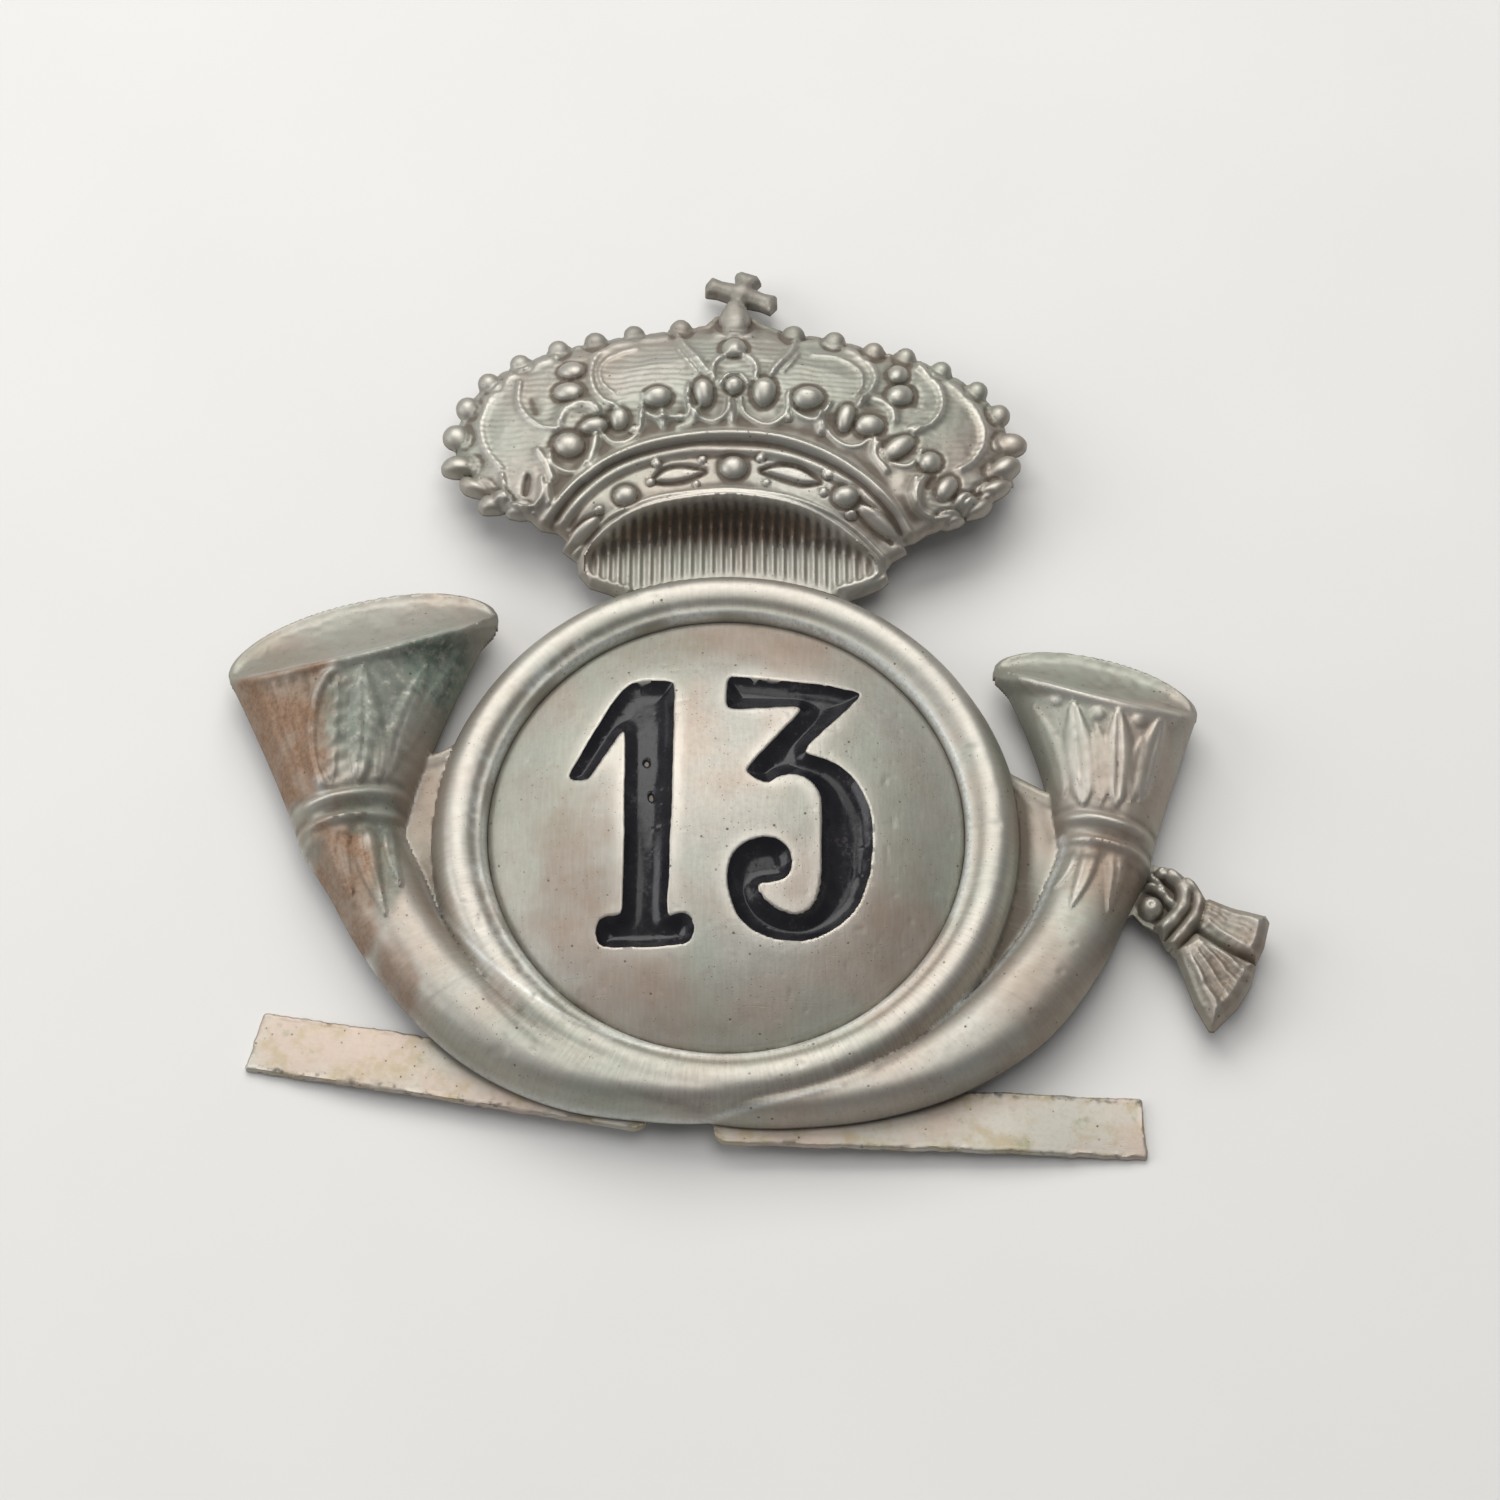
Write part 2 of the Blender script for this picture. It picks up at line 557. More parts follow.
def collar(z, t, s, on):
    """Adds two rings, the waist between them and a groove at each end."""
    roll = np.clip(1 - np.abs(t) ** 3, 0, 1) ** 0.5
    for at in COLLAR_RINGS:
        z = np.where(on, z + 0.46 * roll * bump_at(s, at, 0.36), z)
    z = np.where(on, z - 0.14 * roll * bump_at(s, COLLAR_WAIST, 0.34), z)
    ends = bump_at(s, COLLAR_ENDS[0], 0.22) + bump_at(s, COLLAR_ENDS[1], 0.25)
    return np.where(on, z - 0.12 * roll * ends, z)


def branch(x, y, b, tube, deco, seat_side):
    """Height and outline of a tube with its collar and bell. A fine bead runs along seat_side."""
    k, t, w, h = on_tube(tube, x, y)
    z_bell, f_mouth, inside, p, q = bell_height(b, t, w, h, x, y)
    bell = (k > 0.0) | (q > -MOUTH_FRONT * b.depth)
    bell &= (np.hypot(x - b.c1[0], y - b.c1[1]) < b.w[1] + 5) | (k > 0.0)
    s = k * b.length
    on = (np.abs(t) < 1.02) & (k > -0.3)
    z = collar(np.where(bell, z_bell, arch(t, w, h)), t, s, on)
    u, v = to_view(x, y, np.clip(z, 0, 6), TASSEL_REF_Z)
    inward = (1 - np.abs(t)) * w
    seat = np.where((k < 0.02) & (k > -0.85) & (t * seat_side > 0), 0.26 * bump_at(inward, 0.12, 0.15), 0)
    z = np.where(np.hypot(x, y) > 18.9, z + seat, z)
    front = -MOUTH_FRONT * b.depth * np.sqrt(np.clip(1 - p * p, 0, 1))
    relief = deco(u, v, x, y, s, t) * np.where(k > 0.2, sstep(0.15, 0.75, front - q), 1)
    near = on & (k > -0.45) & ~inside
    z = np.where(near & (z > 0.3), z + relief * np.clip(inward / 0.8, 0, 1), z)
    uneven = np.where(inside, sstep(0.1, 0.9, q - front), 0)
    z = z + uneven * (0.05 * noise(x, y, 1.3, 5) + 0.03 * noise(x, y, 0.5, 6))
    f = np.where((k > -8) & ~(bell & (q > 0)), inward, -1.0)
    return z, np.maximum(f, np.where(bell, f_mouth, -1.0))


def horn_shape(x, y):
    r = np.hypot(x, y)
    z, f = ring(x, y)
    webs = [web(x, y, WEB_L, WEB_L_RIM), web(x, y, WEB_R, WEB_R_RIM)]
    z = smax(z, np.maximum(webs[0][0], webs[1][0]), 0.15)
    f = np.maximum(f, np.maximum(webs[0][1], webs[1][1]))
    for b, tube, deco, seat_side, blend in ((BELL_L, LEFT_TUBE, deco_left, -1, 0.18),
                                            (BELL_R, RIGHT_TUBE, deco_right, 1, 0.12)):
        z_branch, f_branch = branch(x, y, b, tube, deco, seat_side)
        z = smax(z, z_branch, blend)
        f = np.maximum(f, f_branch)
    z = z + 0.025 * noise(x, y, 2.4, 11) + 0.012 * noise(x, y, 0.6, 12)
    # small dents in the old metal
    z = z - 0.05 * np.clip(noise(x, y, 0.9, 13) - 0.72, 0, 1) * 4
    z = np.maximum(z, EDGE + 1.5 * np.clip(f, 0, 0.06))
    f = np.minimum(f, r - DISC_R)
    # no wall is steeper than the grid can draw
    z = np.where(r > 17, smin(z, EDGE + 3.4 * np.maximum(f, 0), 0.08), z)
    floor = np.where(r < 15.92, 0.43, 0.0)
    return f, np.maximum(z, floor + 0.2), floor


def leaf(u, v, pts, w, h, blunt):
    """Raised leaf with a sunk vein, widest near its root, pointed at both ends."""
    d, a = line_dist(u, v, curve(pts, 6))
    half = w * np.sin(math.pi * np.clip(a, 0.01, 0.99) ** blunt) ** 0.75 + 0.04
    body = np.clip(1 - (d / half) ** 2, 0, 1) ** 0.65
    return h * body * (1 - 0.35 * bump_at(d, 0, 0.13))


def leaves(u, v, rows, blunt, join):
    """Leaves that overlap: points, half width and height of each."""
    grown = np.zeros(u.shape)
    for pts, w, h in rows:
        grown = smax(grown, leaf(u, v, pts, w, h, blunt), join)
    return grown


BELL_LINE = curve([(-25.2, 11.3), (-26.2, 9), (-26.4, 6.5), (-26.2, 4.5), (-25.6, 2.6)], 6)
LEAVES_L = [
    ([(-24.9, 3.0), (-25.3, 6.0), (-24.9, 10.4)], 0.75, 0.30),
    ([(-21.4, 3.2), (-20.7, 6.6), (-19.2, 11.2)], 0.85, 0.30),
    ([(-20.5, 4.6), (-19.3, 7.6), (-17.4, 11.4)], 0.6, 0.22),
    ([(-23.3, 2.8), (-23.0, 6.4), (-23.3, 11.2)], 1.15, 0.40),
    ([(-22.1, 2.8), (-21.9, 4.6), (-21.9, 6.6)], 0.5, 0.32)]
TIPS_L = [
    ([(-26.2, -0.3), (-26.0, -2.2), (-25.3, -4.6)], 0.6, 0.40),
    ([(-21.2, -0.6), (-20.9, -2.4), (-20.3, -4.3)], 0.45, 0.40),
    ([(-24.6, 0.0), (-24.2, -2.8), (-23.2, -5.8)], 0.9, 0.40),
    ([(-22.8, -0.4), (-22.3, -3.2), (-21.2, -6.3)], 0.85, 0.40)]
LEAVES_R = [
    ([(21.2, 1.9), (20.7, 4.4), (19.6, 8.2)], 0.95, 0.30),
    ([(26.2, 1.6), (26.8, 4.2), (27.8, 7.6)], 0.95, 0.30),
    ([(23.65, 1.4), (23.7, 4.0), (23.6, 7.0)], 0.75, 0.26),
    ([(25.5, 1.5), (25.9, 3.6), (26.4, 6.0)], 0.65, 0.26),
    ([(22.5, 1.3), (22.4, 4.6), (22.1, 8.7)], 1.15, 0.38),
    ([(24.6, 1.3), (24.85, 4.4), (25.0, 8.2)], 1.1, 0.38)]
TIPS_R = [
    ([(21.7, -1.6), (21.2, -3.2), (20.4, -4.6)], 0.5, 0.30),
    ([(25.9, -2.0), (26.0, -3.5), (25.6, -5.2)], 0.5, 0.30),
    ([(22.9, -1.7), (22.4, -3.6), (21.5, -5.8)], 0.65, 0.30),
    ([(24.5, -1.8), (24.4, -3.8), (23.8, -6.2)], 0.7, 0.30)]
# Beads between the leaf tips: place, radii, turn, height
BEADS_R = [
    (23.65, 7.7, 0.55, 0.5, 10, 0.24), (26.3, 7.2, 0.5, 0.5, 0, 0.24), (21.0, 8.7, 0.45, 0.5, 20, 0.22)]


def deco_left(u, v, x, y, s, t):
    """Relief on the big bell: a fluted outer third, worn leaves and, below the collar, leaf tips."""
    line, _ = line_dist(u, v, BELL_LINE)
    outer = sstep(0.0, 0.5, (-26.3 - u) + 0.10 * (v - 6.5))
    fan = (t - 0.45) / 0.55 * 6.0 + 0.25 * noise(x, y, 1.4, 21)
    up = sstep(2.4, 3.2, s)
    z = outer * up * (0.07 * np.sin(fan * math.pi * 2 / 1.25) + 0.03 * np.sin(fan * math.pi * 2 / 0.41))
    z += 0.42 * bump_at(line, 0, 0.38) * up
    middle = sstep(-26.0, -25.2, u) * up * sstep(12.2, 11.2, v - 0.25 * (u + 23))
    barbs = np.sin((v + 0.9 * np.abs(u + 23.2)) * 5.2 + 1.2 * noise(x, y, 1.1, 23))
    worn = 0.035 * barbs + 0.04 * noise(x, y, 0.8, 22) + 0.02 * noise(x, y, 0.35, 24)
    z += middle * (leaves(u, v, LEAVES_L, 0.9, 0.06) + worn)
    return z + leaves(u, v, TIPS_L, 0.45, 0.05) * sstep(0.2, -0.4, s)


def deco_right(u, v, x, y, s, t):
    """Leaf relief on the small bell."""
    up = sstep(2.3, 2.9, s)
    grown = leaves(u, v, LEAVES_R, 0.8, 0.05)
    for cx, cy, a, b, turn, h in BEADS_R:
        q = oval(u, v, cx, cy, a, b, turn) ** 2
        halo = 0.16 * np.exp(-np.clip(q - 0.8, 0, 9) * 6) * (q > 1)
        grown = smax(grown, h * (np.sqrt(np.clip(1 - q, 0, 1)) + halo), 0.05)
    grown = (grown + 0.03 * noise(x, y, 0.6, 31)) * up
    return grown + leaves(u, v, TIPS_R, 0.45, 0.05) * sstep(0.2, -0.4, s)


# ---------------------------------------------------------------- number disc
DOME_R = (DISC_EDGE ** 2 + DOME_H ** 2) / (2 * DOME_H)
ONE = soften([
    (-9.9, 3.0), (-9.9, 3.25), (-9.2, 4.6), (-8.0, 6.9), (-6.9, 8.8), (-6.3, 9.5), (-5.6, 9.85),
    (-4.5, 9.9), (-3.5, 9.8), (-3.35, 9.6), (-3.4, 5), (-3.5, 0), (-3.68, -6), (-3.6, -6.7), (-3, -6.4),
    (-2.4, -6.4), (-2, -7), (-2, -7.6), (-2.2, -8.2), (-2.7, -8.5), (-5, -8.65), (-7.6, -8.7), (-8, -8.3),
    (-8.05, -7.2), (-7.6, -6.6), (-6.7, -6.6), (-6.4, -6.3), (-6.35, 0), (-6.4, 6.1), (-6.6, 6.4),
    (-7.6, 4.8), (-8.6, 3.1), (-8.8, 2.85), (-9.6, 2.8)], 0.42)
THREE = soften([
    (0, 8.2), (0.05, 9.4), (0.15, 10.15), (0.6, 10.2), (6.5, 9.5), (8.4, 9.0), (8.5, 8.85), (8.1, 8.3),
    (5.3, 5.5), (5.0, 5.0), (5.0, 4.7), (5.6, 4.5), (6.6, 4.2), (7.8, 3.3), (8.6, 2), (9.1, 0.5),
    (9.2, -1.5), (8.95, -4), (8.2, -6), (7, -7.3), (5.5, -8.15), (4, -8.3), (2.5, -8), (1.2, -7.2),
    (0.5, -6), (0.12, -4.5), (0.12, -3.2), (0.5, -2.1), (1.4, -1.35), (2.5, -1.1), (3.5, -1.4), (4.1, -2.3),
    (4.12, -3.2), (3.75, -3.95), (3, -4.2), (2.2, -4.25), (1.95, -4.5), (2.2, -5.2), (3, -6), (4, -6.5),
    (4.8, -6.45), (5.6, -5.8), (6.0, -4), (6.05, 1), (5.95, 2), (5.3, 2.95), (4.4, 3.3), (3.4, 3.2),
    (2.9, 2.85), (2.5, 2.6), (1.4, 3.3), (1.3, 3.6), (2, 4.5), (4.7, 7.6), (4.75, 7.95), (4.3, 8.1),
    (0.3, 7.9)], 0.42)
# Chips in the lacquer of each numeral: place and radii
CHIPS = {1: ((-5.6, 9.95, 0.8, 0.22), (-5.05, 4.4, 0.16, 0.22), (-4.75, 2.0, 0.13, 0.26)),
         3: ((3.6, 10.15, 2.2, 0.28), (6.3, 9.75, 0.6, 0.2))}


def disc_surface(x, y):
    """Height of the disc with its struck numerals, the field of each numeral, and where it is seen. The
    numerals are outlined as they are seen."""
    z = SEAM_Z + np.sqrt(DOME_R ** 2 - np.minimum(x * x + y * y, 240)) - (DOME_R - DOME_H)
    u, v = to_view(x, y, z)
    uneven = 0.02 * noise(u, v, 0.9, 41)
    fields = {1: poly_field(u, v, ONE) + uneven, 3: poly_field(u, v, THREE) + uneven}
    deep = np.clip((np.maximum(fields[1], fields[3]) + 0.05) / 1.5, 0, 1)
    z = z - (1 - (1 - deep) ** 2.6)
    z = z - 0.12 * sstep(14.65, 15.05, np.hypot(x, y))
    z = z + 0.035 * noise(x, y, 4.0, 42) + 0.012 * noise(x, y, 1.1, 43)
    z = z - 0.035 * np.clip(noise(x, y, 0.5, 44) - 0.7, 0, 1) * 3
    return z, fields, u, v


def disc_shape(x, y):
    return DISC_EDGE - np.hypot(x, y), disc_surface(x, y)[0], np.full(x.shape, 1.0)


def lacquer_shape(which):
    """Lacquer film over one numeral, pooled in the middle of the stroke, with chips and a ragged edge."""
    def shape(x, y):
        z, fields, u, v = disc_surface(x, y)
        f = fields[which] + 0.02 + 0.015 * noise(u, v, 0.35, 51)
        for cx, cy, a, b in CHIPS[which]:
            f = np.minimum(f, np.hypot((u - cx) / a, (v - cy) / b) - 1 + 0.35 * noise(u, v, 0.30, 52))
        if which == 3:
            f = np.where((u > 2) & (v < -4), f - 0.02 + 0.045 * noise(u, v, 0.2, 53), f)
        film = 0.03 + 0.16 * (1 - np.exp(-np.clip(f, 0, 9) / 0.35))
        return f, z + film + 0.006 * noise(u, v, 0.8, 54), z - 0.03
    return shape


# ---------------------------------------------------------------- materials
class Wire:
    """Output of a shader node, with arithmetic that adds Math nodes."""

    def __init__(self, mat, socket):
        self.mat, self.socket = mat, socket

    def __add__(self, other):
        return self.mat.calc("ADD", self, other)

    def __radd__(self, other):
        return self.mat.calc("ADD", other, self)

    def __sub__(self, other):
        return self.mat.calc("SUBTRACT", self, other)

    def __mul__(self, other):
        return self.mat.calc("MULTIPLY", self, other)


class Mat:
    """Principled material whose patterns are in millimetres of the object."""

    def __init__(self, name):
        self.m = bpy.data.materials.new(name)
        self.m.use_nodes = True
        self.t = self.m.node_tree
        self.p = self.t.nodes["Principled BSDF"].inputs
        self.mm = self.node("ShaderNodeTexCoord", "Object")
        self.mm = self.node("ShaderNodeMapping", "Vector", Vector=self.mm, Scale=(1 / MM, 1 / MM, 1 / MM))

    def link(self, a, b):
        """Connects a wire, or sets a number, a colour or a vector."""
        if isinstance(a, Wire):
            self.t.links.new(a.socket, b)
        elif isinstance(a, tuple) and len(b.default_value) == 4:
            b.default_value = (*a, 1.0)
        else:
            b.default_value = a

    def node(self, kind, out, how=None, **inputs):
        """New node with the settings in how and the named inputs linked. Gives its output called out."""
        n = self.t.nodes.new(kind)
        for key, value in (how or {}).items():
            setattr(n, key, value)
        for key, value in inputs.items():
            self.link(value, n.inputs[key.replace("_", " ")])
        return Wire(self, n.outputs[out])

    def moved(self, seed, stretch=(1, 1, 1)):
        """Place on the object, shifted by a seed and stretched."""
        return self.node("ShaderNodeMapping", "Vector", Vector=self.mm, Scale=stretch,
                         Location=(seed, seed * 0.7, seed * 1.3))

    def attr(self, name):
        return self.node("ShaderNodeAttribute", "Fac", {"attribute_name": name})

    def noise(self, scale, detail, rough, seed, stretch=(1, 1, 1)):
        return self.node("ShaderNodeTexNoise", "Fac", Scale=scale, Detail=detail, Roughness=rough,
                         Vector=self.moved(seed, stretch))

    def cells(self, scale, seed):
        return self.node("ShaderNodeTexVoronoi", "Distance", Scale=scale, Vector=self.moved(seed))

    def ramp(self, x, lo, hi, a=0.0, b=1.0):
        """Smooth step from a at lo to b at hi."""
        return self.node("ShaderNodeMapRange", "Result", {"interpolation_type": "SMOOTHSTEP"}, Value=x,
                         From_Min=lo, From_Max=hi, To_Min=a, To_Max=b)

    def calc(self, op, a, b, clamp=False):
        n = self.t.nodes.new("ShaderNodeMath")
        n.operation, n.use_clamp = op, clamp
        self.link(a, n.inputs[0])
        self.link(b, n.inputs[1])
        return Wire(self, n.outputs[0])

    def most(self, a, b):
        return self.calc("MAXIMUM", a, b)

    def mix(self, fac, a, b):
        n = self.t.nodes.new("ShaderNodeMix")
        n.data_type = "RGBA"
        # inputs 6 and 7 and output 2 are the colours
        for value, k in ((fac, 0), (a, 6), (b, 7)):
            self.link(value, n.inputs[k])
        return Wire(self, n.outputs[2])

    def finish(self, colour, rough, metal, relief, strength, depth):
        """Links the surface and gives the material. relief is raised by depth mm."""
        self.link(colour, self.p["Base Color"])
        self.link(rough, self.p["Roughness"])
        self.link(metal, self.p["Metallic"])
        bump = self.node("ShaderNodeBump", "Normal", Strength=strength, Distance=depth * MM, Height=relief)
        self.link(bump, self.p["Normal"])
        return self.m


def shade(colour, k):
    return tuple(k * c for c in colour)


def nickel(name, seed, clean=(0.41, 0.395, 0.35), warm=(0.41, 0.33, 0.27), rough=0.58, warmth=0.6):
    """Old nickel silver: satin, with warm stains, tarnish in the hollows and brighter worn places."""
    m = Mat(name)
    hollow = m.attr("hollow")
    worn = m.attr("worn")
    big = m.noise(0.11, 3, 0.55, seed + 3.1)
    mid = m.noise(0.45, 4, 0.6, seed + 8.7)
    fine = m.noise(3.2, 4, 0.62, seed + 1.9)
    col = m.mix(m.ramp(big, 0.40, 0.62, 0, warmth), clean, warm)
    col = m.mix(m.ramp(m.noise(0.09, 2, 0.5, seed + 17.0), 0.45, 0.62, 0, 0.7), col, (0.35, 0.37, 0.315))
    col = m.mix(m.ramp(mid, 0.42, 0.78, 0, 0.34), col, shade(warm, 0.70))
    col = m.mix(m.ramp(fine, 0.35, 0.85, 0, 0.25), col, shade(clean, 0.66))
    # worn high places
    high = m.ramp(hollow + (mid - 0.5) * 0.16, 0.04, 0.25)
    col = m.mix(high * 0.55, col, (0.52, 0.495, 0.445))
    col = m.mix(worn * m.ramp(fine, 0.3, 0.6, 0.5, 1.0), col, (0.76, 0.78, 0.76))
    # brown places given with the mesh
    brown = m.attr("brown") * m.ramp(mid, 0.25, 0.6, 0.6, 1.0)
    col = m.mix(brown, col, m.mix(m.ramp(fine, 0.3, 0.7), (0.19, 0.108, 0.062), (0.27, 0.175, 0.112)))
    # tarnish in the hollows
    low = m.ramp(hollow + (fine - 0.5) * 0.10, -0.04, -0.26) * m.calc("SUBTRACT", 1.0, worn, clamp=True)
    col = m.mix(low * 0.85, col, (0.10, 0.075, 0.052))
    # dark and green places given with the mesh
    dark = m.attr("dark") * m.ramp(m.noise(1.3, 4, 0.6, seed + 5.5), 0.3, 0.6, 0.5, 1.0)
    col = m.mix(dark, col, (0.075, 0.058, 0.045))
    green = m.attr("green") * m.ramp(m.noise(1.6, 4, 0.65, seed + 4.4), 0.24, 0.54)
    col = m.mix(green, col, m.mix(m.ramp(mid, 0.4, 0.6), (0.095, 0.125, 0.098), (0.21, 0.25, 0.205)))
    # short streaks drawn across the tubes
    lay = m.node("ShaderNodeCombineXYZ", "Vector", X=m.attr("along") * 5.0, Y=m.attr("across") * 0.55)
    rub = m.node("ShaderNodeTexNoise", "Fac", Scale=1.0, Detail=3, Vector=lay)
    streak = m.ramp(rub, 0.38, 0.62, -1, 1) * m.attr("brushed")
    col = m.mix(m.calc("MULTIPLY", streak, 0.08, clamp=True), col, (0.66, 0.65, 0.60))
    col = m.mix(m.calc("MULTIPLY", streak, -0.10, clamp=True), col, shade(clean, 0.55))
    # pits and specks
    pits = m.ramp(m.cells(1.1, seed + 2.2), 0.13, 0.04)
    pits = pits * m.ramp(m.noise(0.5, 2, 0.5, seed + 6.0), 0.46, 0.60)
    specks = m.ramp(m.cells(3.2, seed + 9.0), 0.16, 0.05) * m.ramp(mid, 0.42, 0.58)
    spots = m.most(pits, specks)
    col = m.mix(spots * 0.7, col, (0.08, 0.06, 0.045))
    # roughness and metal
    cover = m.most(low, m.most(green, dark))
    r = rough - 0.05 + fine * 0.10 - high * 0.07 + cover * 0.25
    r = m.calc("ADD", r, spots * 0.2, clamp=True)
    metal = m.calc("SUBTRACT", 0.86, m.most(cover, brown * 0.6) * 0.7, clamp=True)
    # fine relief: grain, pits and scratches both ways
    scratch_y = m.ramp(m.noise(1.1, 2, 0.5, seed + 11, (9, 0.35, 1)), 0.64, 0.74)
    scratch_x = m.ramp(m.noise(1.1, 2, 0.5, seed + 12, (0.4, 8, 1)), 0.66, 0.76)
    grain = m.noise(7.0, 3, 0.6, seed + 7)
    relief = grain * 0.25 - spots * 0.8 - m.most(scratch_y, scratch_x) * 0.16 + fine * 0.3 + streak * 0.05
    return m.finish(col, r, metal, relief, 0.45, 0.045)


def black_lacquer(name):
    """Old black lacquer, dusty and lightly scratched."""
    m = Mat(name)
    mid = m.noise(0.6, 4, 0.6, 2.0)
    fine = m.noise(3.4, 4, 0.65, 5.0)
    dust = m.ramp(fine * m.ramp(mid, 0.35, 0.7, 0.5, 1.2), 0.56, 0.76)
    col = m.mix(m.ramp(mid, 0.35, 0.7, 0, 0.8), (0.010, 0.010, 0.013), (0.020, 0.018, 0.021))
    col = m.mix(dust * 0.5, col, (0.05, 0.042, 0.04))
    r = m.calc("ADD", 0.17, (m.ramp(fine, 0.35, 0.75) + dust) * 0.14, clamp=True)
    scratch = m.ramp(m.noise(1.2, 2, 0.5, 4.0, (7, 0.5, 1)), 0.6, 0.7)
    relief = m.noise(1.2, 2, 0.5, 9.0) * 0.5 + fine * 0.12 - scratch * 0.10
    m.p["Specular IOR Level"].default_value = 0.32
    return m.finish(col, r, 0.0, relief, 0.3, 0.06)


def strap_metal(name):
    """Thin soft strip, paler and duller, with yellow and green stains and dark nicked edges."""
    m = Mat(name)
    big = m.noise(0.16, 3, 0.55, 33.0)
    mid = m.noise(0.6, 4, 0.6, 37.0)
    fine = m.noise(3.5, 4, 0.62, 39.0)
    col = m.mix(m.ramp(big, 0.38, 0.62), (0.43, 0.41, 0.36), (0.44, 0.365, 0.31))
    col = m.mix(m.ramp(mid, 0.46, 0.68, 0, 0.75), col, (0.36, 0.30, 0.19))
    col = m.mix(m.ramp(m.noise(0.9, 4, 0.6, 44.0), 0.60, 0.72, 0, 0.7), col, (0.27, 0.29, 0.20))
    col = m.mix(m.ramp(fine, 0.4, 0.8, 0, 0.3), col, (0.36, 0.33, 0.28))
    edge = m.attr("dark") * m.ramp(m.noise(1.7, 4, 0.65, 48.0), 0.50, 0.66, 0, 0.8)
    col = m.mix(edge, col, (0.085, 0.085, 0.065))
    spots = m.ramp(m.cells(1.5, 50.0), 0.14, 0.05) * m.ramp(mid, 0.42, 0.56)
    col = m.mix(spots * 0.7, col, (0.12, 0.10, 0.07))
    r = m.calc("ADD", 0.46 + fine * 0.14, m.most(edge, spots) * 0.25, clamp=True)
    metal = m.calc("SUBTRACT", 0.8, edge * 0.7, clamp=True)
    scratch = m.ramp(m.noise(1.0, 2, 0.5, 52.0, (0.5, 7, 1)), 0.62, 0.74)
    relief = fine * 0.4 + m.noise(8.0, 2, 0.5, 54.0) * 0.2 - (scratch * 0.2 + spots * 0.6)
    return m.finish(col, r, metal, relief, 0.4, 0.04)


def solder_metal(name):
    """Dull grey solder with brown flux stains."""
    m = Mat(name)
    mid = m.noise(0.7, 4, 0.6, 61.0)
    fine = m.noise(4.0, 4, 0.62, 63.0)
    col = m.mix(m.ramp(mid, 0.35, 0.65), (0.36, 0.36, 0.36), (0.24, 0.235, 0.22))
    col = m.mix(m.ramp(fine, 0.55, 0.8, 0, 0.6), col, (0.45, 0.44, 0.42))
    col = m.mix(m.ramp(m.noise(1.4, 3, 0.6, 66.0), 0.56, 0.7, 0, 0.7), col, (0.16, 0.13, 0.08))
    return m.finish(col, 0.38 + fine * 0.25, 0.8, fine * 0.4 + mid * 0.6, 0.5, 0.08)


def put(ob, mat):
    ob.data.materials.clear()
    ob.data.materials.append(mat)


MAT_HORN = nickel("horn_metal", 1.0)
MAT_DISC = nickel("disc_metal", 21.0, clean=(0.39, 0.38, 0.34), rough=0.56, warmth=0.7)
MAT_LACQUER = black_lacquer("black_lacquer")


# ---------------------------------------------------------------- horn, disc and lacquer
def even(value):
    """Paint that is the same everywhere."""
    def paint(x, y):
        return np.full(x.shape, value)
    return paint


def patches(x, y, rows):
    """Soft ragged ovals: strength, place, radii, seed and softness of each."""
    out = np.zeros(x.shape)
    for strength, cx, cy, a, b, seed, soft in rows:
        q = np.hypot((x - cx) / a, (y - cy) / b)
        q = q + 0.28 * noise(x, y, 1.5, seed) + 0.15 * noise(x, y, 0.5, seed + 1)
        out = np.maximum(out, strength * sstep(1.0 + soft * 0.5, 1.0 - soft * 0.5, q))
    return out


def in_mouth(x, y):
    """1 inside the mouth of the big bell."""
    p, q, e = BELL_L.mouth(x, y)
    return sstep(-0.1, 0.5, q + MOUTH_FRONT * BELL_L.depth * e) * (np.abs(p) < 1.1)


HORN_BROWN = (
    (1, -28.6, 7.6, 3.6, 7.0, 61, 0.6), (1, -23.9, -4.0, 2.3, 4.4, 63, 0.6),
    (0.35, -19.2, 0.5, 1.8, 6.0, 60, 0.8), (0.7, -20.4, -10.6, 1.3, 2.6, 69, 0.8),
    (0.55, 24, -3.2, 2.4, 2.6, 65, 0.9), (0.35, 20, -11, 3.0, 4.0, 67, 1.0))
BELL_GREEN = ((1, -18.6, 11.4, 2.4, 3.0, 71, 0.7), (0.6, -22.4, 8.2, 3.0, 4.6, 73, 0.9))
COLLAR_GREEN = ((0.5, -22.6, 0.6, 1.6, 1.8, 77, 0.8), (0.5, -21.2, -3.0, 0.9, 3.6, 75, 0.9))
DISC_BROWN = (
    (0.45, -9.5, -3.5, 2.6, 5.0, 93, 1.4), (0.35, -5.0, -12.2, 4.5, 2.2, 95, 1.4),
    (0.30, 10.5, -6.5, 2.2, 3.6, 97, 1.4), (0.30, 1.5, 12.6, 8.0, 1.4, 99, 1.4))


def horn_brown(x, y):
    return patches(x, y, HORN_BROWN) * (1 - 0.75 * in_mouth(x, y))


def horn_green(x, y):
    return np.maximum(patches(x, y, BELL_GREEN) * (1 - 0.6 * in_mouth(x, y)), patches(x, y, COLLAR_GREEN))


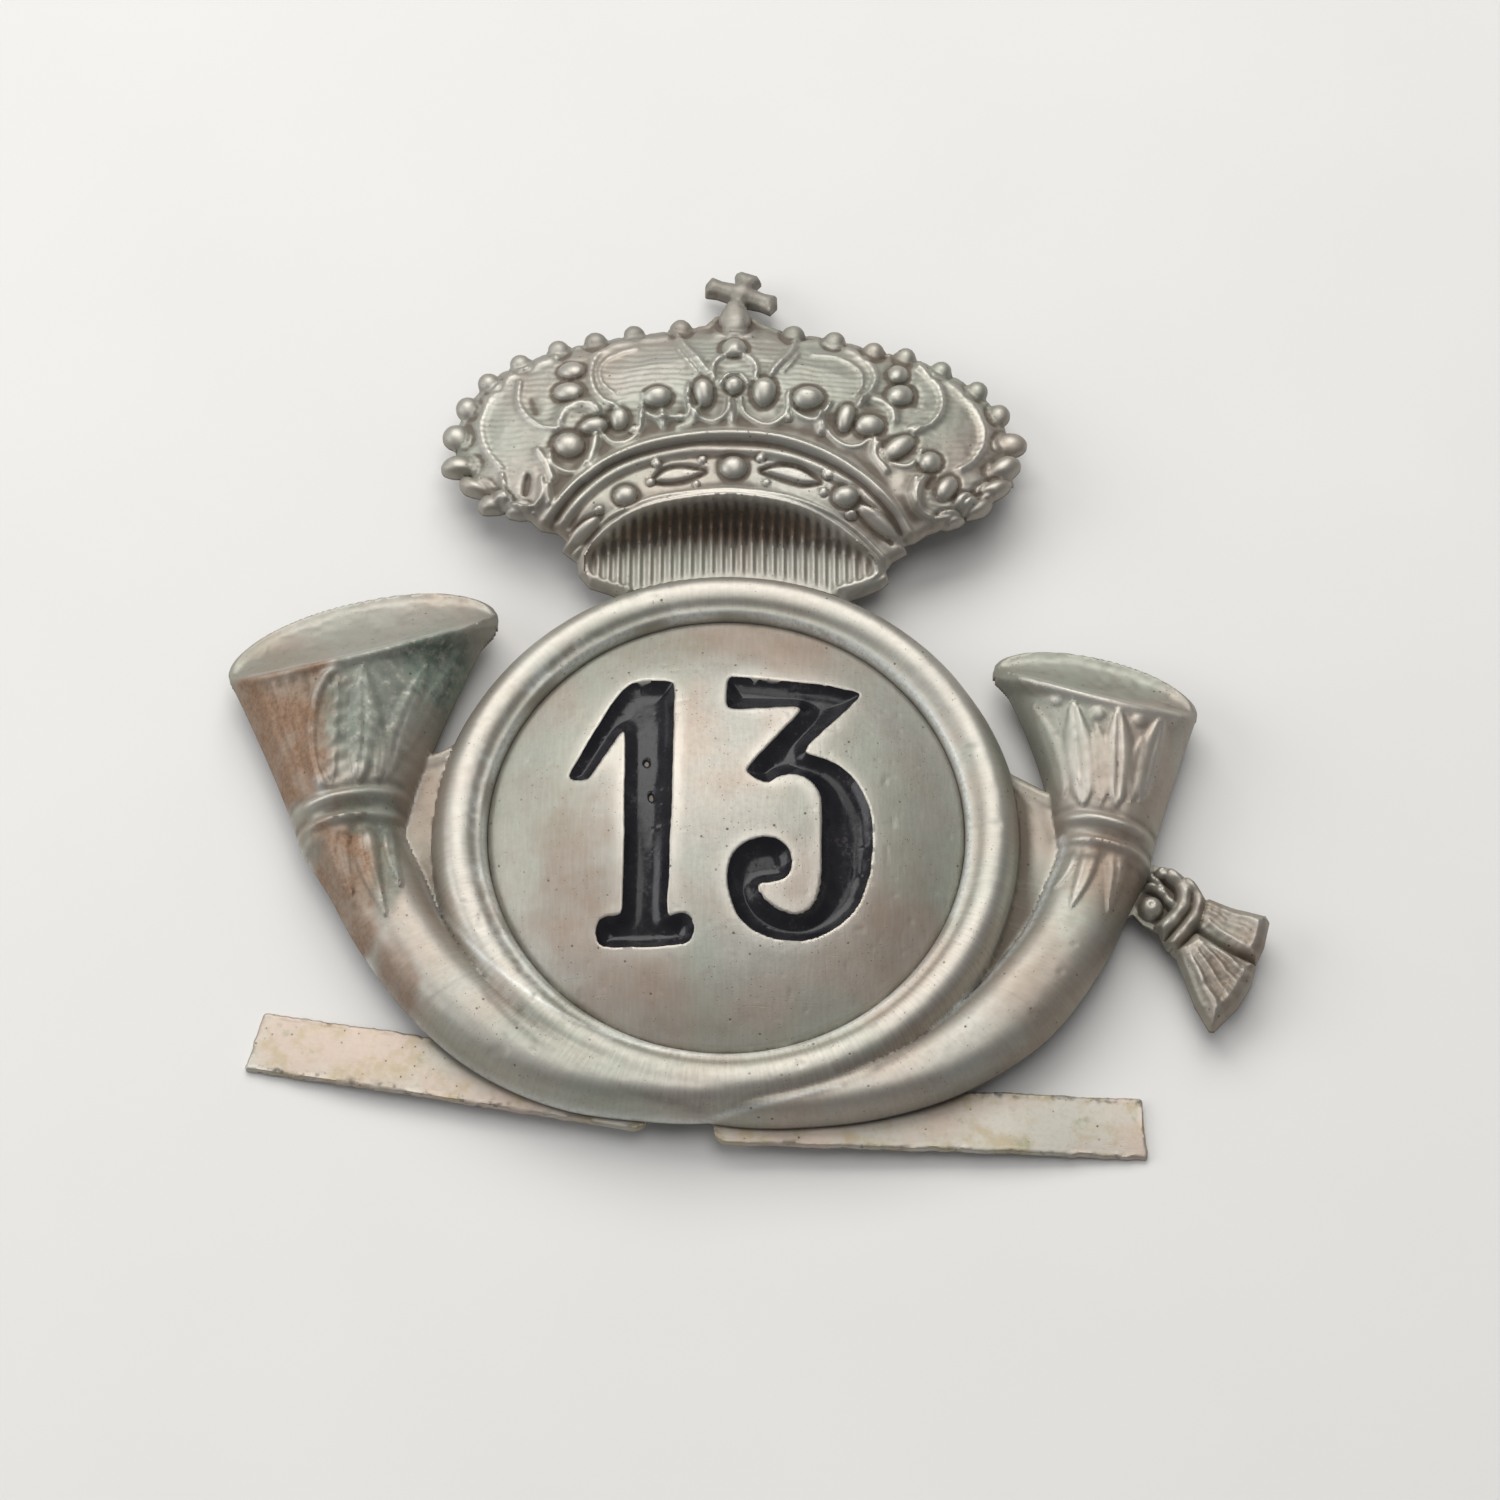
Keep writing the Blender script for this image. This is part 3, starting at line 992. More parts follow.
def horn_dark(x, y):
    """Dirt in the seam round the disc, at the foot of the ring and in the grooves of the collars."""
    r = np.hypot(x, y)
    dark = bump_at(r, 15.05, 0.08) * (0.2 + 0.3 * noise(x, y, 1.2, 81))
    dark = np.maximum(dark, 0.4 * bump_at(r, RING_R, 0.25) * sstep(-0.5, 0.6, noise(x, y, 2.0, 83)))
    for tube, length in ((LEFT_TUBE, BELL_L.length), (RIGHT_TUBE, BELL_R.length)):
        k, t, _, _ = on_tube(tube, x, y)
        s = np.where(np.abs(t) < 1, k * length, -9)
        for at, wide in ((COLLAR_WAIST, 0.24), (-0.2, 0.22), (2.8, 0.22)):
            dark = np.maximum(dark, 0.5 * bump_at(s, at, wide) * sstep(-0.9, 0.4, noise(x, y, 0.8, 84)))
    return np.clip(dark, 0, 1)


def horn_worn(x, y):
    """Bright rubbed lines: the inner edges of both tubes, the ring, the disc seam and the cut edge."""
    kl, tl, wl, _ = on_tube(LEFT_TUBE, x, y)
    kr, tr, wr, _ = on_tube(RIGHT_TUBE, x, y)
    r = np.hypot(x, y)
    u, v = to_view(x, y, 4.0, TASSEL_REF_Z)
    flecks = 0.5 * noise(x, y, 1.1, 87) + 0.5 * noise(x, y, 0.37, 88) + 0.3 * noise(x, y, 2.9, 89)
    worn = (bump_at((1 - tr) * wr, 0.3, 0.26) * (kr < 0.1) * (r > RING_R - 0.3),
            0.5 * bump_at((1 + tl) * wl, 0.3, 0.2) * (kl < 0.02) * (r > RING_R),
            0.5 * bump_at(r, 15.9, 0.5) * sstep(2, -8, x) * sstep(-0.1, 0.6, flecks),
            0.55 * bump_at(line_dist(u, v, BELL_LINE)[0], 0, 0.34) * (1 - in_mouth(x, y)),
            0.95 * bump_at(r, 15.28, 0.2) * sstep(-0.5, 0.3, noise(x, y, 2.4, 85) + 0.3),
            0.6 * bump_at((1 - np.abs(tl)) * wl, 0, 0.12) * (kl < 0.3))
    return np.clip(np.maximum.reduce(worn), 0, 1)


def horn_open(x, y):
    """How far tarnish settles in hollows: less on the flat webs."""
    left, right = (sstep(0.0, 0.5, poly_field(x, y, pts)) for pts in (WEB_L, WEB_R))
    return 1 - 0.8 * left - 0.35 * right


def horn_brushed(x, y):
    """Where the metal is brushed: most on the lower half, less on the rest of the ring."""
    return sstep(-1.5, -3.5, y) * 0.5 + 0.5 * (np.hypot(x, y) < RING_R)


def round_ring(x, y):
    """Length round the ring."""
    return np.arctan2(y, x) * 18.0


def disc_brown(x, y):
    return patches(x, y, DISC_BROWN)


def disc_dark(x, y):
    return np.clip(bump_at(np.hypot(x, y), 15.0, 0.14) * (0.3 + 0.5 * noise(x, y, 0.9, 91)), 0, 1)


def plan_x(x, y):
    return x


def plan_y(x, y):
    return y


horn = sheet_piece("horn", (-33, -20.5), (32, 18.2), 0.145, horn_shape,
                   paint={"brown": horn_brown, "green": horn_green, "dark": horn_dark, "worn": horn_worn,
                          "hollow": horn_open, "brushed": horn_brushed, "along": round_ring,
                          "across": np.hypot})
put(horn, MAT_HORN)
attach(horn, "badge")
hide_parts("horn_shell")

# Flange and wall under the dome: radius and height
SKIRT = [
    (14.62, 0.05), (14.67, 0.0), (15.80, 0.0), (15.85, 0.05), (15.85, 0.28), (15.80, 0.33), (15.10, 0.33),
    (DISC_EDGE, 0.41), (DISC_EDGE, 1.20), (14.62, 1.20)]
disc = sheet_piece("disc", (-15.4, -15.4), (15.4, 15.4), 0.13, disc_shape, more=lathe(SKIRT),
                   paint={"brown": disc_brown, "green": even(0), "dark": disc_dark, "brushed": even(0.5),
                          "along": plan_x, "across": plan_y})
put(disc, MAT_DISC)
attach(disc, "badge")
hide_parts("number_disc")

for which, lo, hi in ((1, (-11, -10), (-1, 11)), (3, (-1, -10), (10.5, 11.5))):
    ob = sheet_piece("lacquer_%d" % which, lo, hi, 0.075, lacquer_shape(which), thick=0.3)
    put(ob, MAT_LACQUER)
    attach(ob, "badge")
    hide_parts("numeral_%d_lacquer" % which)


# ---------------------------------------------------------------- crown, drawn as it is seen
LOWER_RIM = curve([
    (-6.4, 16.4), (-8.6, 17.2), (-9.25, 18.2), (-8.7, 19.6), (-7.5, 21.0), (-5.5, 22.2), (-3, 22.9),
    (0.4, 23.2), (4, 22.6), (7, 21.1), (9.0, 19.2), (9.75, 18.0), (9.2, 17.1), (7.2, 16.4)], 5)
UPPER_RIM = curve([
    (-11.9, 21.2), (-10.6, 23.3), (-9.2, 24.8), (-7.4, 26.1), (-5, 27.0), (-2, 27.5), (0.5, 27.6),
    (3, 27.4), (5, 26.85), (7, 25.95), (9, 24.5), (10.7, 22.6), (11.9, 20.4)], 5)
INNER_RIM = curve([
    (-10.8, 21.0), (-9.7, 22.8), (-8.5, 24.1), (-7, 25.2), (-5, 26.0), (-2.4, 26.55), (0.5, 26.6),
    (3, 26.4), (5, 25.8), (7, 24.8), (8.7, 23.5), (10.1, 21.8), (11.1, 20.0)], 5)
CROWN_EDGE = [
    (-5.6, 14.9), (-6.5, 15.9), (-7.5, 16.4), (-8.9, 16.9), (-9.6, 17.8), (-9.7, 18.7), (-10.7, 19.5),
    (-10.4, 20.2), (-11, 20.8), (-12.1, 21), (-12.8, 21.5), (-14.2, 21.6), (-14.9, 22.0), (-16.0, 21.9),
    (-16.3, 22.6), (-15.9, 23.3), (-17.3, 23.5), (-17.6, 24.2), (-17.2, 24.8), (-18.8, 24.9), (-18.6, 25.6),
    (-17.5, 26.3), (-17.9, 27), (-17.4, 28.4), (-17.0, 29.4), (-16.5, 30.6), (-15.8, 31.5), (-14.8, 32.5),
    (-13.4, 33.2), (-11.6, 34.1), (-8.9, 34.8), (-6.3, 35.3), (-3.3, 35.7), (-1.2, 36.1), (-0.6, 36.8),
    (0.4, 37.1), (1.4, 36.8), (2.2, 36.2), (3.2, 35.8), (4.6, 35.4), (7.2, 35.0), (9.8, 34.1), (12, 33.7),
    (14, 32.7), (15.3, 31.9), (16.4, 31.0), (17.2, 30.0), (17.7, 29), (18.1, 27.8), (18.7, 27), (18.1, 26),
    (18.8, 25.3), (19.6, 24.5), (19.1, 24.0), (18.4, 23.2), (17.6, 22.6), (16.8, 21.8), (15.9, 21.6),
    (14.5, 20.9), (13.0, 20.7), (12.2, 20.1), (11.5, 19.9), (11.7, 19.3), (10.7, 18.7), (10.3, 18.1),
    (10.5, 17.3), (10.0, 16.8), (8.9, 16.3), (7.9, 15.9), (6.9, 14.9)]
CROSS = [
    (-0.75, -2.6), (-0.6, -0.75), (-1.5, -0.7), (-2.3, -0.85), (-2.55, -0.1), (-2.3, 0.6), (-1.5, 0.5),
    (-0.65, 0.6), (-0.95, 1.3), (-0.6, 1.65), (0.6, 1.65), (0.95, 1.3), (0.65, 0.6), (1.5, 0.5), (2.3, 0.6),
    (2.55, -0.1), (2.3, -0.85), (1.5, -0.7), (0.6, -0.75), (0.75, -2.6)]
# Pearls on the edge: place, radii, turn
EDGE_PEARLS = [
    (-3.1, 36.15, 0.75, 0.7, 0), (-6.2, 35.9, 0.7, 0.65, 0), (-8.75, 35.2, 0.75, 0.7, 0),
    (-11.2, 34.6, 0.72, 0.7, 0), (-13.7, 33.5, 0.72, 0.7, 0), (-15.75, 32.0, 0.75, 0.75, 0),
    (-17.1, 30.1, 0.8, 0.85, 0), (-17.75, 27.8, 0.95, 0.9, 0), (-17.5, 25.6, 1.25, 0.78, 12),
    (-16.4, 24.1, 1.15, 0.72, -18), (-15.3, 22.8, 1.0, 0.7, 35), (-13.6, 22.3, 0.85, 0.6, 10),
    (4.4, 35.6, 0.72, 0.65, 0), (7.1, 35.1, 0.7, 0.65, 0), (9.7, 34.3, 0.7, 0.68, 0),
    (11.8, 33.95, 0.68, 0.68, 0), (14.15, 32.9, 0.7, 0.7, 0), (16.5, 31.4, 0.72, 0.72, 0),
    (17.9, 29.6, 0.75, 0.8, 0), (18.6, 27.3, 1.1, 0.85, -8), (18.1, 25.3, 1.15, 0.75, 12),
    (17.4, 23.8, 1.2, 0.7, 22), (16.4, 22.5, 1.0, 0.68, 35), (14.6, 21.6, 0.9, 0.6, 5),
    (0.5, 36.5, 0.95, 0.95, 0)]
# Bosses on the face: place, radii, turn, height
BOSSES = [
    (-1.55, 30.6, 0.62, 0.95, 8, 0.62), (-4.6, 30.35, 0.88, 0.72, 0, 0.62),
    (-7.1, 28.9, 0.62, 0.72, 0, 0.5), (-8.75, 28.4, 0.92, 0.6, 8, 0.6), (-10.35, 27.0, 1.0, 0.9, -15, 0.72),
    (-14.7, 23.1, 0.75, 0.6, -35, 0.5), (2.45, 30.7, 0.75, 1.0, -8, 0.62),
    (5.35, 30.25, 0.98, 0.82, 15, 0.66), (7.8, 28.9, 0.55, 0.95, -15, 0.5),
    (9.35, 28.4, 0.92, 0.72, 10, 0.62), (11.2, 26.8, 1.2, 0.68, 38, 0.6), (13.3, 25.75, 0.72, 0.72, 0, 0.6),
    (14.35, 23.8, 0.62, 0.9, -30, 0.6), (15.65, 22.85, 0.75, 0.65, 0, 0.55),
    (0.45, 31.1, 0.55, 0.6, 0, 0.45), (0.45, 34.3, 0.8, 0.78, 0, 0.62), (-10.3, 32.8, 0.85, 0.62, 5, 0.6),
    (-10.5, 31.1, 0.95, 0.68, 5, 0.62), (11.3, 32.5, 0.66, 0.68, 0, 0.58),
    (11.4, 30.85, 0.85, 0.75, 20, 0.6), (0.42, 25.3, 0.85, 0.82, 0, 0.62), (-6.6, 23.25, 0.72, 0.7, 0, 0.5),
    (7.75, 23.15, 0.8, 0.75, 0, 0.55), (-9.4, 20.5, 1.45, 0.5, 48, 0.5), (9.8, 21.3, 1.6, 0.55, -45, 0.55),
    (-5.0, 24.25, 0.3, 0.3, 0, 0.22), (-4.6, 25.6, 0.3, 0.3, 0, 0.2), (6.6, 24.8, 0.35, 0.35, 0, 0.24),
    (6.3, 23.5, 0.3, 0.35, 0, 0.22), (2.2, 26.0, 0.3, 0.3, 0, 0.2), (8.1, 21.8, 0.35, 0.35, 0, 0.25),
    (-8.3, 22.2, 0.3, 0.3, 0, 0.2), (-1.6, 25.9, 0.28, 0.28, 0, 0.18), (-2.0, 24.1, 0.25, 0.25, 0, 0.16),
    (2.6, 24.2, 0.25, 0.25, 0, 0.16), (-6.1, 28.1, 0.35, 0.3, 0, 0.25), (-3.1, 28.9, 0.3, 0.3, 0, 0.2),
    (4.0, 28.9, 0.3, 0.3, 0, 0.2), (6.2, 28.0, 0.3, 0.4, 0, 0.2)]
# Raised lines: points, half width, height before wear
LINES = [
    ([(-12.4, 26.5), (-11.85, 25.6), (-11.4, 24.4)], 0.36, 0.55),
    ([(-11.7, 23.9), (-11.6, 22.6)], 0.32, 0.45),
    ([(-8.6, 27.7), (-8.75, 26.6), (-9.1, 25.6)], 0.36, 0.5),
    ([(9.7, 27.4), (9.75, 26.2), (10.4, 25.0)], 0.36, 0.5),
    ([(12.35, 24.4), (12.1, 23.3), (12.3, 22.3)], 0.36, 0.55),
    ([(-4.3, 29.4), (-4.2, 28.3)], 0.34, 0.4),
    ([(6.1, 29.1), (6.1, 27.9)], 0.34, 0.4),
    ([(0.3, 29.9), (0.3, 28.6)], 0.36, 0.4),
    ([(-1.9, 29.6), (-2.3, 28.6), (-3.2, 28.2)], 0.28, 0.3),
    # scallops that hold the beads
    ([(-11.6, 26.7), (-11.4, 25.6), (-10.6, 25.0), (-9.8, 25.0), (-9.3, 25.6)], 0.2, 0.3),
    ([(-8.3, 28.0), (-7.6, 27.2), (-6.6, 27.2), (-5.8, 28.0), (-5.6, 29.4)], 0.22, 0.32),
    ([(-5.6, 30.6), (-5.5, 29.4), (-4.7, 28.9), (-3.7, 28.9), (-2.6, 29.0), (-2.5, 30.0)], 0.2, 0.3),
    ([(-2.5, 31.2), (-2.6, 29.9), (-1.9, 28.9), (-0.9, 28.6), (0.0, 29.2), (0.1, 30.2)], 0.2, 0.32),
    ([(0.9, 30.2), (1.1, 29.2), (2.0, 28.5), (3.0, 28.4), (3.9, 29.2), (4.0, 30.4)], 0.2, 0.32),
    ([(4.1, 30.6), (4.4, 29.3), (5.4, 28.7), (6.2, 28.9), (6.8, 29.9)], 0.2, 0.3),
    ([(6.1, 29.0), (6.7, 27.7), (7.7, 26.9), (8.7, 26.9), (9.3, 27.4)], 0.22, 0.32),
    ([(10.0, 27.0), (10.4, 25.9), (11.4, 25.4), (12.2, 25.6), (12.8, 26.6)], 0.2, 0.3),
    ([(-14.7, 24.8), (-14.4, 23.2), (-13.7, 22.4), (-12.8, 22.3), (-12.1, 23.0),
      (-12.1, 24.5)], 0.24, 0.42),
    ([(12.9, 24.6), (12.45, 23.4), (12.5, 22.2), (13.2, 21.6), (14.2, 21.4), (15.2, 21.7),
      (15.9, 22.1)], 0.26, 0.45),
    ([(-15.9, 22.3), (-14.8, 22.3), (-13.6, 21.9), (-12.7, 21.9)], 0.2, 0.3),
    # panel borders
    ([(-7.2, 29.7), (-8.2, 30.3), (-8.9, 31.5), (-9.0, 33.1), (-8.2, 34.4), (-6, 35.1),
      (-4.0, 35.3)], 0.26, 0.34),
    ([(-7.5, 30.8), (-8.3, 31.8), (-8.4, 33.0), (-7.6, 33.9), (-6.0, 34.5)], 0.16, 0.2),
    ([(-3.4, 35.6), (-2.7, 34.4), (-1.9, 33.2), (-1.2, 32.0)], 0.28, 0.4),
    ([(-3.3, 34.4), (-2.6, 33.1), (-2.0, 32.2)], 0.16, 0.22),
    ([(4.6, 35.2), (4.1, 33.9), (3.2, 32.6), (2.9, 32.0)], 0.28, 0.42),
    ([(4.7, 34.0), (4.2, 33.0), (3.7, 32.3)], 0.15, 0.2),
    ([(4.9, 34.9), (6.6, 34.9), (8.2, 34.3), (9.3, 33.4), (9.8, 32.2), (9.5, 31.2),
      (8.9, 30.2)], 0.26, 0.36),
    ([(5.6, 34.0), (7.4, 33.7), (8.7, 32.8), (8.9, 31.6), (8.4, 30.6)], 0.15, 0.18),
    ([(-14.8, 25.3), (-15.7, 26.5), (-16.2, 28), (-16.1, 29.6), (-15.4, 31.2), (-14.2, 32.5),
      (-12.8, 33.2), (-11.4, 33.9)], 0.34, 0.36),
    ([(-13.7, 31.9), (-13.8, 30.4), (-13.2, 29.2), (-12.2, 28.4), (-11.2, 28.2)], 0.24, 0.32),
    ([(12.5, 33.3), (14.5, 32.0), (16.1, 30.4), (16.9, 28.5), (16.8, 27), (16.1, 25.8),
      (15.3, 25.2)], 0.34, 0.36),
    ([(12.7, 33.0), (13.9, 31.7), (14.2, 30.1), (13.6, 28.8), (12.3, 27.9)], 0.26, 0.34),
    ([(12.6, 28.4), (12.0, 28.2)], 0.3, 0.3),
    ([(-11.0, 28.8), (-10.7, 29.6), (-9.8, 30.1), (-8.9, 29.9), (-8.5, 29.4)], 0.4, 0.5),
    ([(8.7, 29.9), (9.2, 30.5), (10.2, 30.3), (10.9, 29.6), (11.0, 28.8)], 0.34, 0.42),
    ([(-0.9, 31.6), (-0.9, 32.8), (-0.2, 33.6), (0.5, 33.75), (1.3, 33.5), (1.9, 32.7),
      (1.9, 31.6)], 0.24, 0.36),
    ([(-0.45, 31.2), (0.0, 31.85), (0.5, 31.95), (1.0, 31.8), (1.35, 31.2)], 0.18, 0.25),
    ([(-9.3, 24.2), (-8.3, 25.1)], 0.2, 0.2),
    ([(-0.8, 35.4), (1.6, 35.4)], 0.3, 0.3)]
# Grooves: points, half width, depth before wear
CUTS = [
    ([(-4.95, 24.3), (-4.2, 25.2), (-3.0, 25.5), (-1.4, 25.2)], 0.17, 0.34),
    ([(-4.95, 24.3), (-3.9, 24.2), (-2.6, 24.4), (-1.4, 25.0)], 0.2, 0.38),
    ([(2.2, 25.2), (3.4, 25.6), (4.8, 25.4), (6.1, 24.4)], 0.17, 0.34),
    ([(2.3, 25.0), (3.6, 24.5), (4.9, 24.1), (6.1, 24.2)], 0.2, 0.4),
    ([(-13.0, 24.8), (-13.15, 23.4)], 0.26, 0.42),
    ([(13.1, 23.9), (13.5, 24.6)], 0.22, 0.35),
    ([(-12.9, 30.6), (-12.6, 29.6)], 0.35, 0.2),
    ([(12.3, 31.4), (12.4, 30.2)], 0.4, 0.24),
    ([(-16.9, 25.6), (-18.3, 25.3)], 0.12, 0.18),
    ([(-16.0, 24.2), (-17.0, 24.0)], 0.12, 0.18),
    ([(17.2, 25.3), (18.9, 25.2)], 0.12, 0.18),
    ([(16.5, 23.5), (18.2, 24.0)], 0.12, 0.2)]
RECESS = np.vstack([LOWER_RIM, [(7.0, 14.5), (-6.2, 14.5)]])
RIM_OUTLINE = np.vstack([UPPER_RIM, [(12.0, 14.0), (-12.0, 14.0)]])
FROM_MIDDLE = LOWER_RIM - np.array([0.4, 17.5])
# Mouldings of the rims: line, half width, height or depth
MOULDINGS = ((UPPER_RIM, 0.34, 0.30), (INNER_RIM, 0.26, 0.22), (LOWER_RIM, 0.32, 0.30),
             ((UPPER_RIM + INNER_RIM) / 2, 0.17, -0.14), (1.5 * INNER_RIM - 0.5 * UPPER_RIM, 0.17, -0.12),
             (LOWER_RIM + FROM_MIDDLE * 0.04, 0.17, -0.10))
# Rise of the crown: across the face outside the rims, across the band between them, and near the foot
FACE_AT, FACE_Z = (0, 0.12, 0.42, 0.7, 0.9, 1.0), (4.7, 4.5, 5.1, 4.7, 4.0, 3.1)
BAND_AT, BAND_Z = (0, 0.2, 0.8, 1), (4.0, 3.85, 4.2, 4.7)
FOOT_V, FOOT_Z = (15.5, 17.0, 18.5, 20.0, 21.5, 23.0, 24.5, 26), (0.7, 0.85, 1.35, 2.1, 2.9, 3.9, 5.2, 6.5)
CROSS_AT, CROSS_TURN = (0.95, 38.85), -19
CROSS_Z = 2.45


def crown_base(u, v):
    """Smooth height of the crown, and how deep a point lies in the ribbed recess and in the upper rim."""
    d1, _ = line_dist(u, v, LOWER_RIM)
    d2, _ = line_dist(u, v, UPPER_RIM)
    rec = poly_field(u, v, RECESS)
    inner = poly_field(u, v, RIM_OUTLINE)
    edge = np.maximum(poly_field(u, v, CROWN_EDGE), 0)
    z_face = np.interp(d2 / (d2 + edge + 0.05), FACE_AT, FACE_Z)
    z_band = np.interp(d1 / (d1 + d2 + 0.01), BAND_AT, BAND_Z)
    z = np.where(inner > 0, z_band, z_face)
    aside = np.clip(np.abs(u - 0.5) / 19.2, 0, 1)
    z = z * (1 - 0.5 * (1 - np.cos(math.pi / 2 * aside)))
    z = smin(z, np.interp(v, FOOT_V, FOOT_Z), 0.5)
    floor = 0.85 + 0.10 * np.cos((v - 18.5) * 0.9)
    t = sstep(0.05, 2.3, rec + np.clip(20.2 - v, 0, 4) * 0.9)
    return np.where(rec > 0, z + (floor - z) * t, z), rec, inner


def rib_wave(u):
    """1 on the ribs of the recess and -1 between them."""
    return np.cos((u - 0.3) / 0.665 * 2 * math.pi + 0.25 * np.sin(u * 1.7))


def crown_relief(u, v, z0, rec, inner):
    """Base with ribs, rims, ground, lines, grooves and bosses."""
    # the ribs end in a smooth hem
    hem = sstep(17.2, 18.2, v + 0.03 * (u - 0.4) ** 2)
    z = z0 + (0.11 + 0.11 * sstep(18.5, 22, v)) * rib_wave(u) * sstep(0.05, 0.4, rec) * hem
    for pts, w, h in MOULDINGS:
        z += h * ridge(u, v, pts, w)
    z += 0.20 * ridge(u, v, LOWER_RIM + FROM_MIDDLE * 0.075, 0.2) * sstep(15.8, 17.2, v)
    ground = (inner < -0.5) | ((inner > 0.8) & (rec < -0.3))
    z += np.where(ground, 0.022 * noise(u, v, 0.7, 111) + 0.012 * noise(u, v, 0.3, 112), 0)
    z += 0.018 * np.sin(v * 14 + 2 * noise(u, v, 1.2, 115)) * (inner < -2.2)
    for pts, w, h in LINES:
        z += 0.8 * h * ridge(u, v, curve(pts, 5), w, 0.25)
    for pts, w, h in CUTS:
        z -= 0.9 * h * ridge(u, v, curve(pts, 5), w, 0.3)
    for cu, cv, a, b, turn, h in BOSSES:
        q = oval(u, v, cu, cv, a, b, turn)
        moat = 0.13 * bump_at(q, 1.2, 0.2) * min(1.0, h * 2)
        z = np.where(q < 1.05, smax(z, z0 + 0.80 * h * round_top(q, 0.62) + 0.05, 0.15), z - moat)
    return z


def crown_shape(u, v):
    z0, rec, inner = crown_base(u, v)
    z = crown_relief(u, v, z0, rec, inner)
    f = poly_field(u, v, CROWN_EDGE) + 0.5 * sstep(26, 29, v) * sstep(38, 36.5, v)
    f = f - 0.55 * sstep(12.5, 14.5, np.abs(u - 0.5)) * sstep(27.0, 26.0, v)
    # cross on its orb
    cx, cy = turned(u, v, *CROSS_AT, CROSS_TURN)
    f_cross = poly_field(cx, cy, CROSS)
    up = sstep(36.9, 38.0, v)
    z_cross = CROSS_Z + 0.25 * bump_at(np.hypot(cx, cy), 0, 0.55) - 0.08 * bump_at(f_cross, 0.3, 0.12)
    z = np.where(f_cross > 0, z + (z_cross - z) * up, z)
    f = np.maximum(f, f_cross)
    # the cut edge is rolled down
    roll = np.clip(f / (0.45 + 0.4 * sstep(20, 18, v)), 0, 1)
    low = np.maximum(z0 - 0.5, 0.25)
    low = low + (1.7 - low) * up
    z = np.where(f > 0, low + (z - low) * np.sqrt(1 - (1 - roll) ** 2), low)
    # edge pearls stand out past the rim
    for cu, cv, a, b, turn in EDGE_PEARLS:
        q = oval(u, v, cu, cv, a, b, turn)
        seat = crown_base(np.array([cu * 0.97]), np.array([cv - 0.6]))[0][0] - 0.50
        top = seat + (min(a, b) * 0.80 + 0.35 * (cv < 26.5)) * round_top(q)
        pearl = np.maximum(top, np.where(f > 0, z, -9))
        z = np.where(q < 1, pearl, np.where(f > 0, z - 0.16 * bump_at(q, 1.2, 0.18), z))
        f = np.maximum(f, (1 - q) * min(a, b))
        low = np.where(q < 1.1, seat, low)
    z += 0.015 * noise(u, v, 1.6, 114)
    x, y = crown_xy(u, v)
    f = np.minimum(f, np.hypot(x, y) - RING_R - 0.08)
    floor = np.where((y < 19.5) & (np.abs(x - 0.5) < 7.4), -0.45, low - 0.25)
    return f, np.maximum(z, floor + 0.3), floor


def crown_xy(u, v):
    """Plan of the crown where it is seen."""
    z = np.minimum(crown_base(u, v)[0], 4.2) * 0.9
    z = np.where(v > 36.5, z + (1.6 - z) * sstep(36.5, 38.0, v), z)
    return from_view(u, v, z - CROWN_LEAN * (v - 16))


def crown_place(p):
    x, y = crown_xy(p[:, 0], p[:, 1])
    return np.stack([x, y, p[:, 2] - CROWN_LEAN * (y - CROWN_FOOT_Y)], 1)


# ---------------------------------------------------------------- tassel, drawn as it is seen
FAN_1 = [
    (29.5, -5.2), (30.2, -5.0), (31.6, -5.6), (33.7, -6.2), (33.9, -6.6), (33.5, -8.2), (32.9, -9.4),
    (31.6, -9.0), (29.3, -7.3)]
FAN_2 = [
    (27.6, -8.6), (28.0, -9.0), (28.5, -10.6), (29.0, -12.2), (29.8, -13.8), (30.1, -13.85), (31.6, -12.3),
    (32.6, -10.7), (32.9, -9.6), (31.2, -8.6), (29.3, -7.3)]
STEM = [
    (22.5, -3.0), (26.9, -2.6), (27.9, -3.0), (29.4, -4.0), (30.0, -5.2), (29.6, -7.4), (28.4, -8.9),
    (27.4, -8.4), (26.9, -7.2), (26.0, -6.7), (25.4, -6.0), (23.5, -7.0)]
FAN_JOIN = curve([(29.3, -7.3), (30.4, -8.1), (31.6, -8.9), (32.9, -9.5)], 5)
NECK = curve([(29.7, -4.6), (29.6, -5.6), (29.2, -6.6), (28.7, -7.7), (27.9, -8.6)], 5)
# Turns of cord: points, half width, height
CORDS = (
    ([(27.9, -3.5), (28.6, -4.3), (28.6, -5.4), (28.0, -6.4), (27.2, -7.2)], 0.62, 0.95),
    ([(28.9, -4.1), (29.5, -5.0), (29.3, -6.2), (28.6, -7.2), (27.8, -8.2)], 0.55, 1.0),
    ([(25.8, -4.2), (26.6, -4.3), (27.3, -4.8), (27.9, -5.6)], 0.34, 0.8),
    ([(26.4, -3.4), (27.1, -4.2), (27.6, -5.3)], 0.32, 0.7))
# Knots of the cord: place, radius, height
KNOTS = ((27.35, -3.35, 0.5, 0.85), (26.5, -5.7, 0.8, 1.0))


def fringe(u, v, root, tips, strands):
    """Wave across the strands that fan out from a root between two angles, and the distance from it."""
    a = np.degrees(np.arctan2(v - root[1], u - root[0]))
    r = np.hypot(u - root[0], v - root[1])
    q = (a - tips[0]) / (tips[1] - tips[0])
    return np.cos((q * strands + 0.06 * np.sin(r * 3)) * 2 * math.pi), r


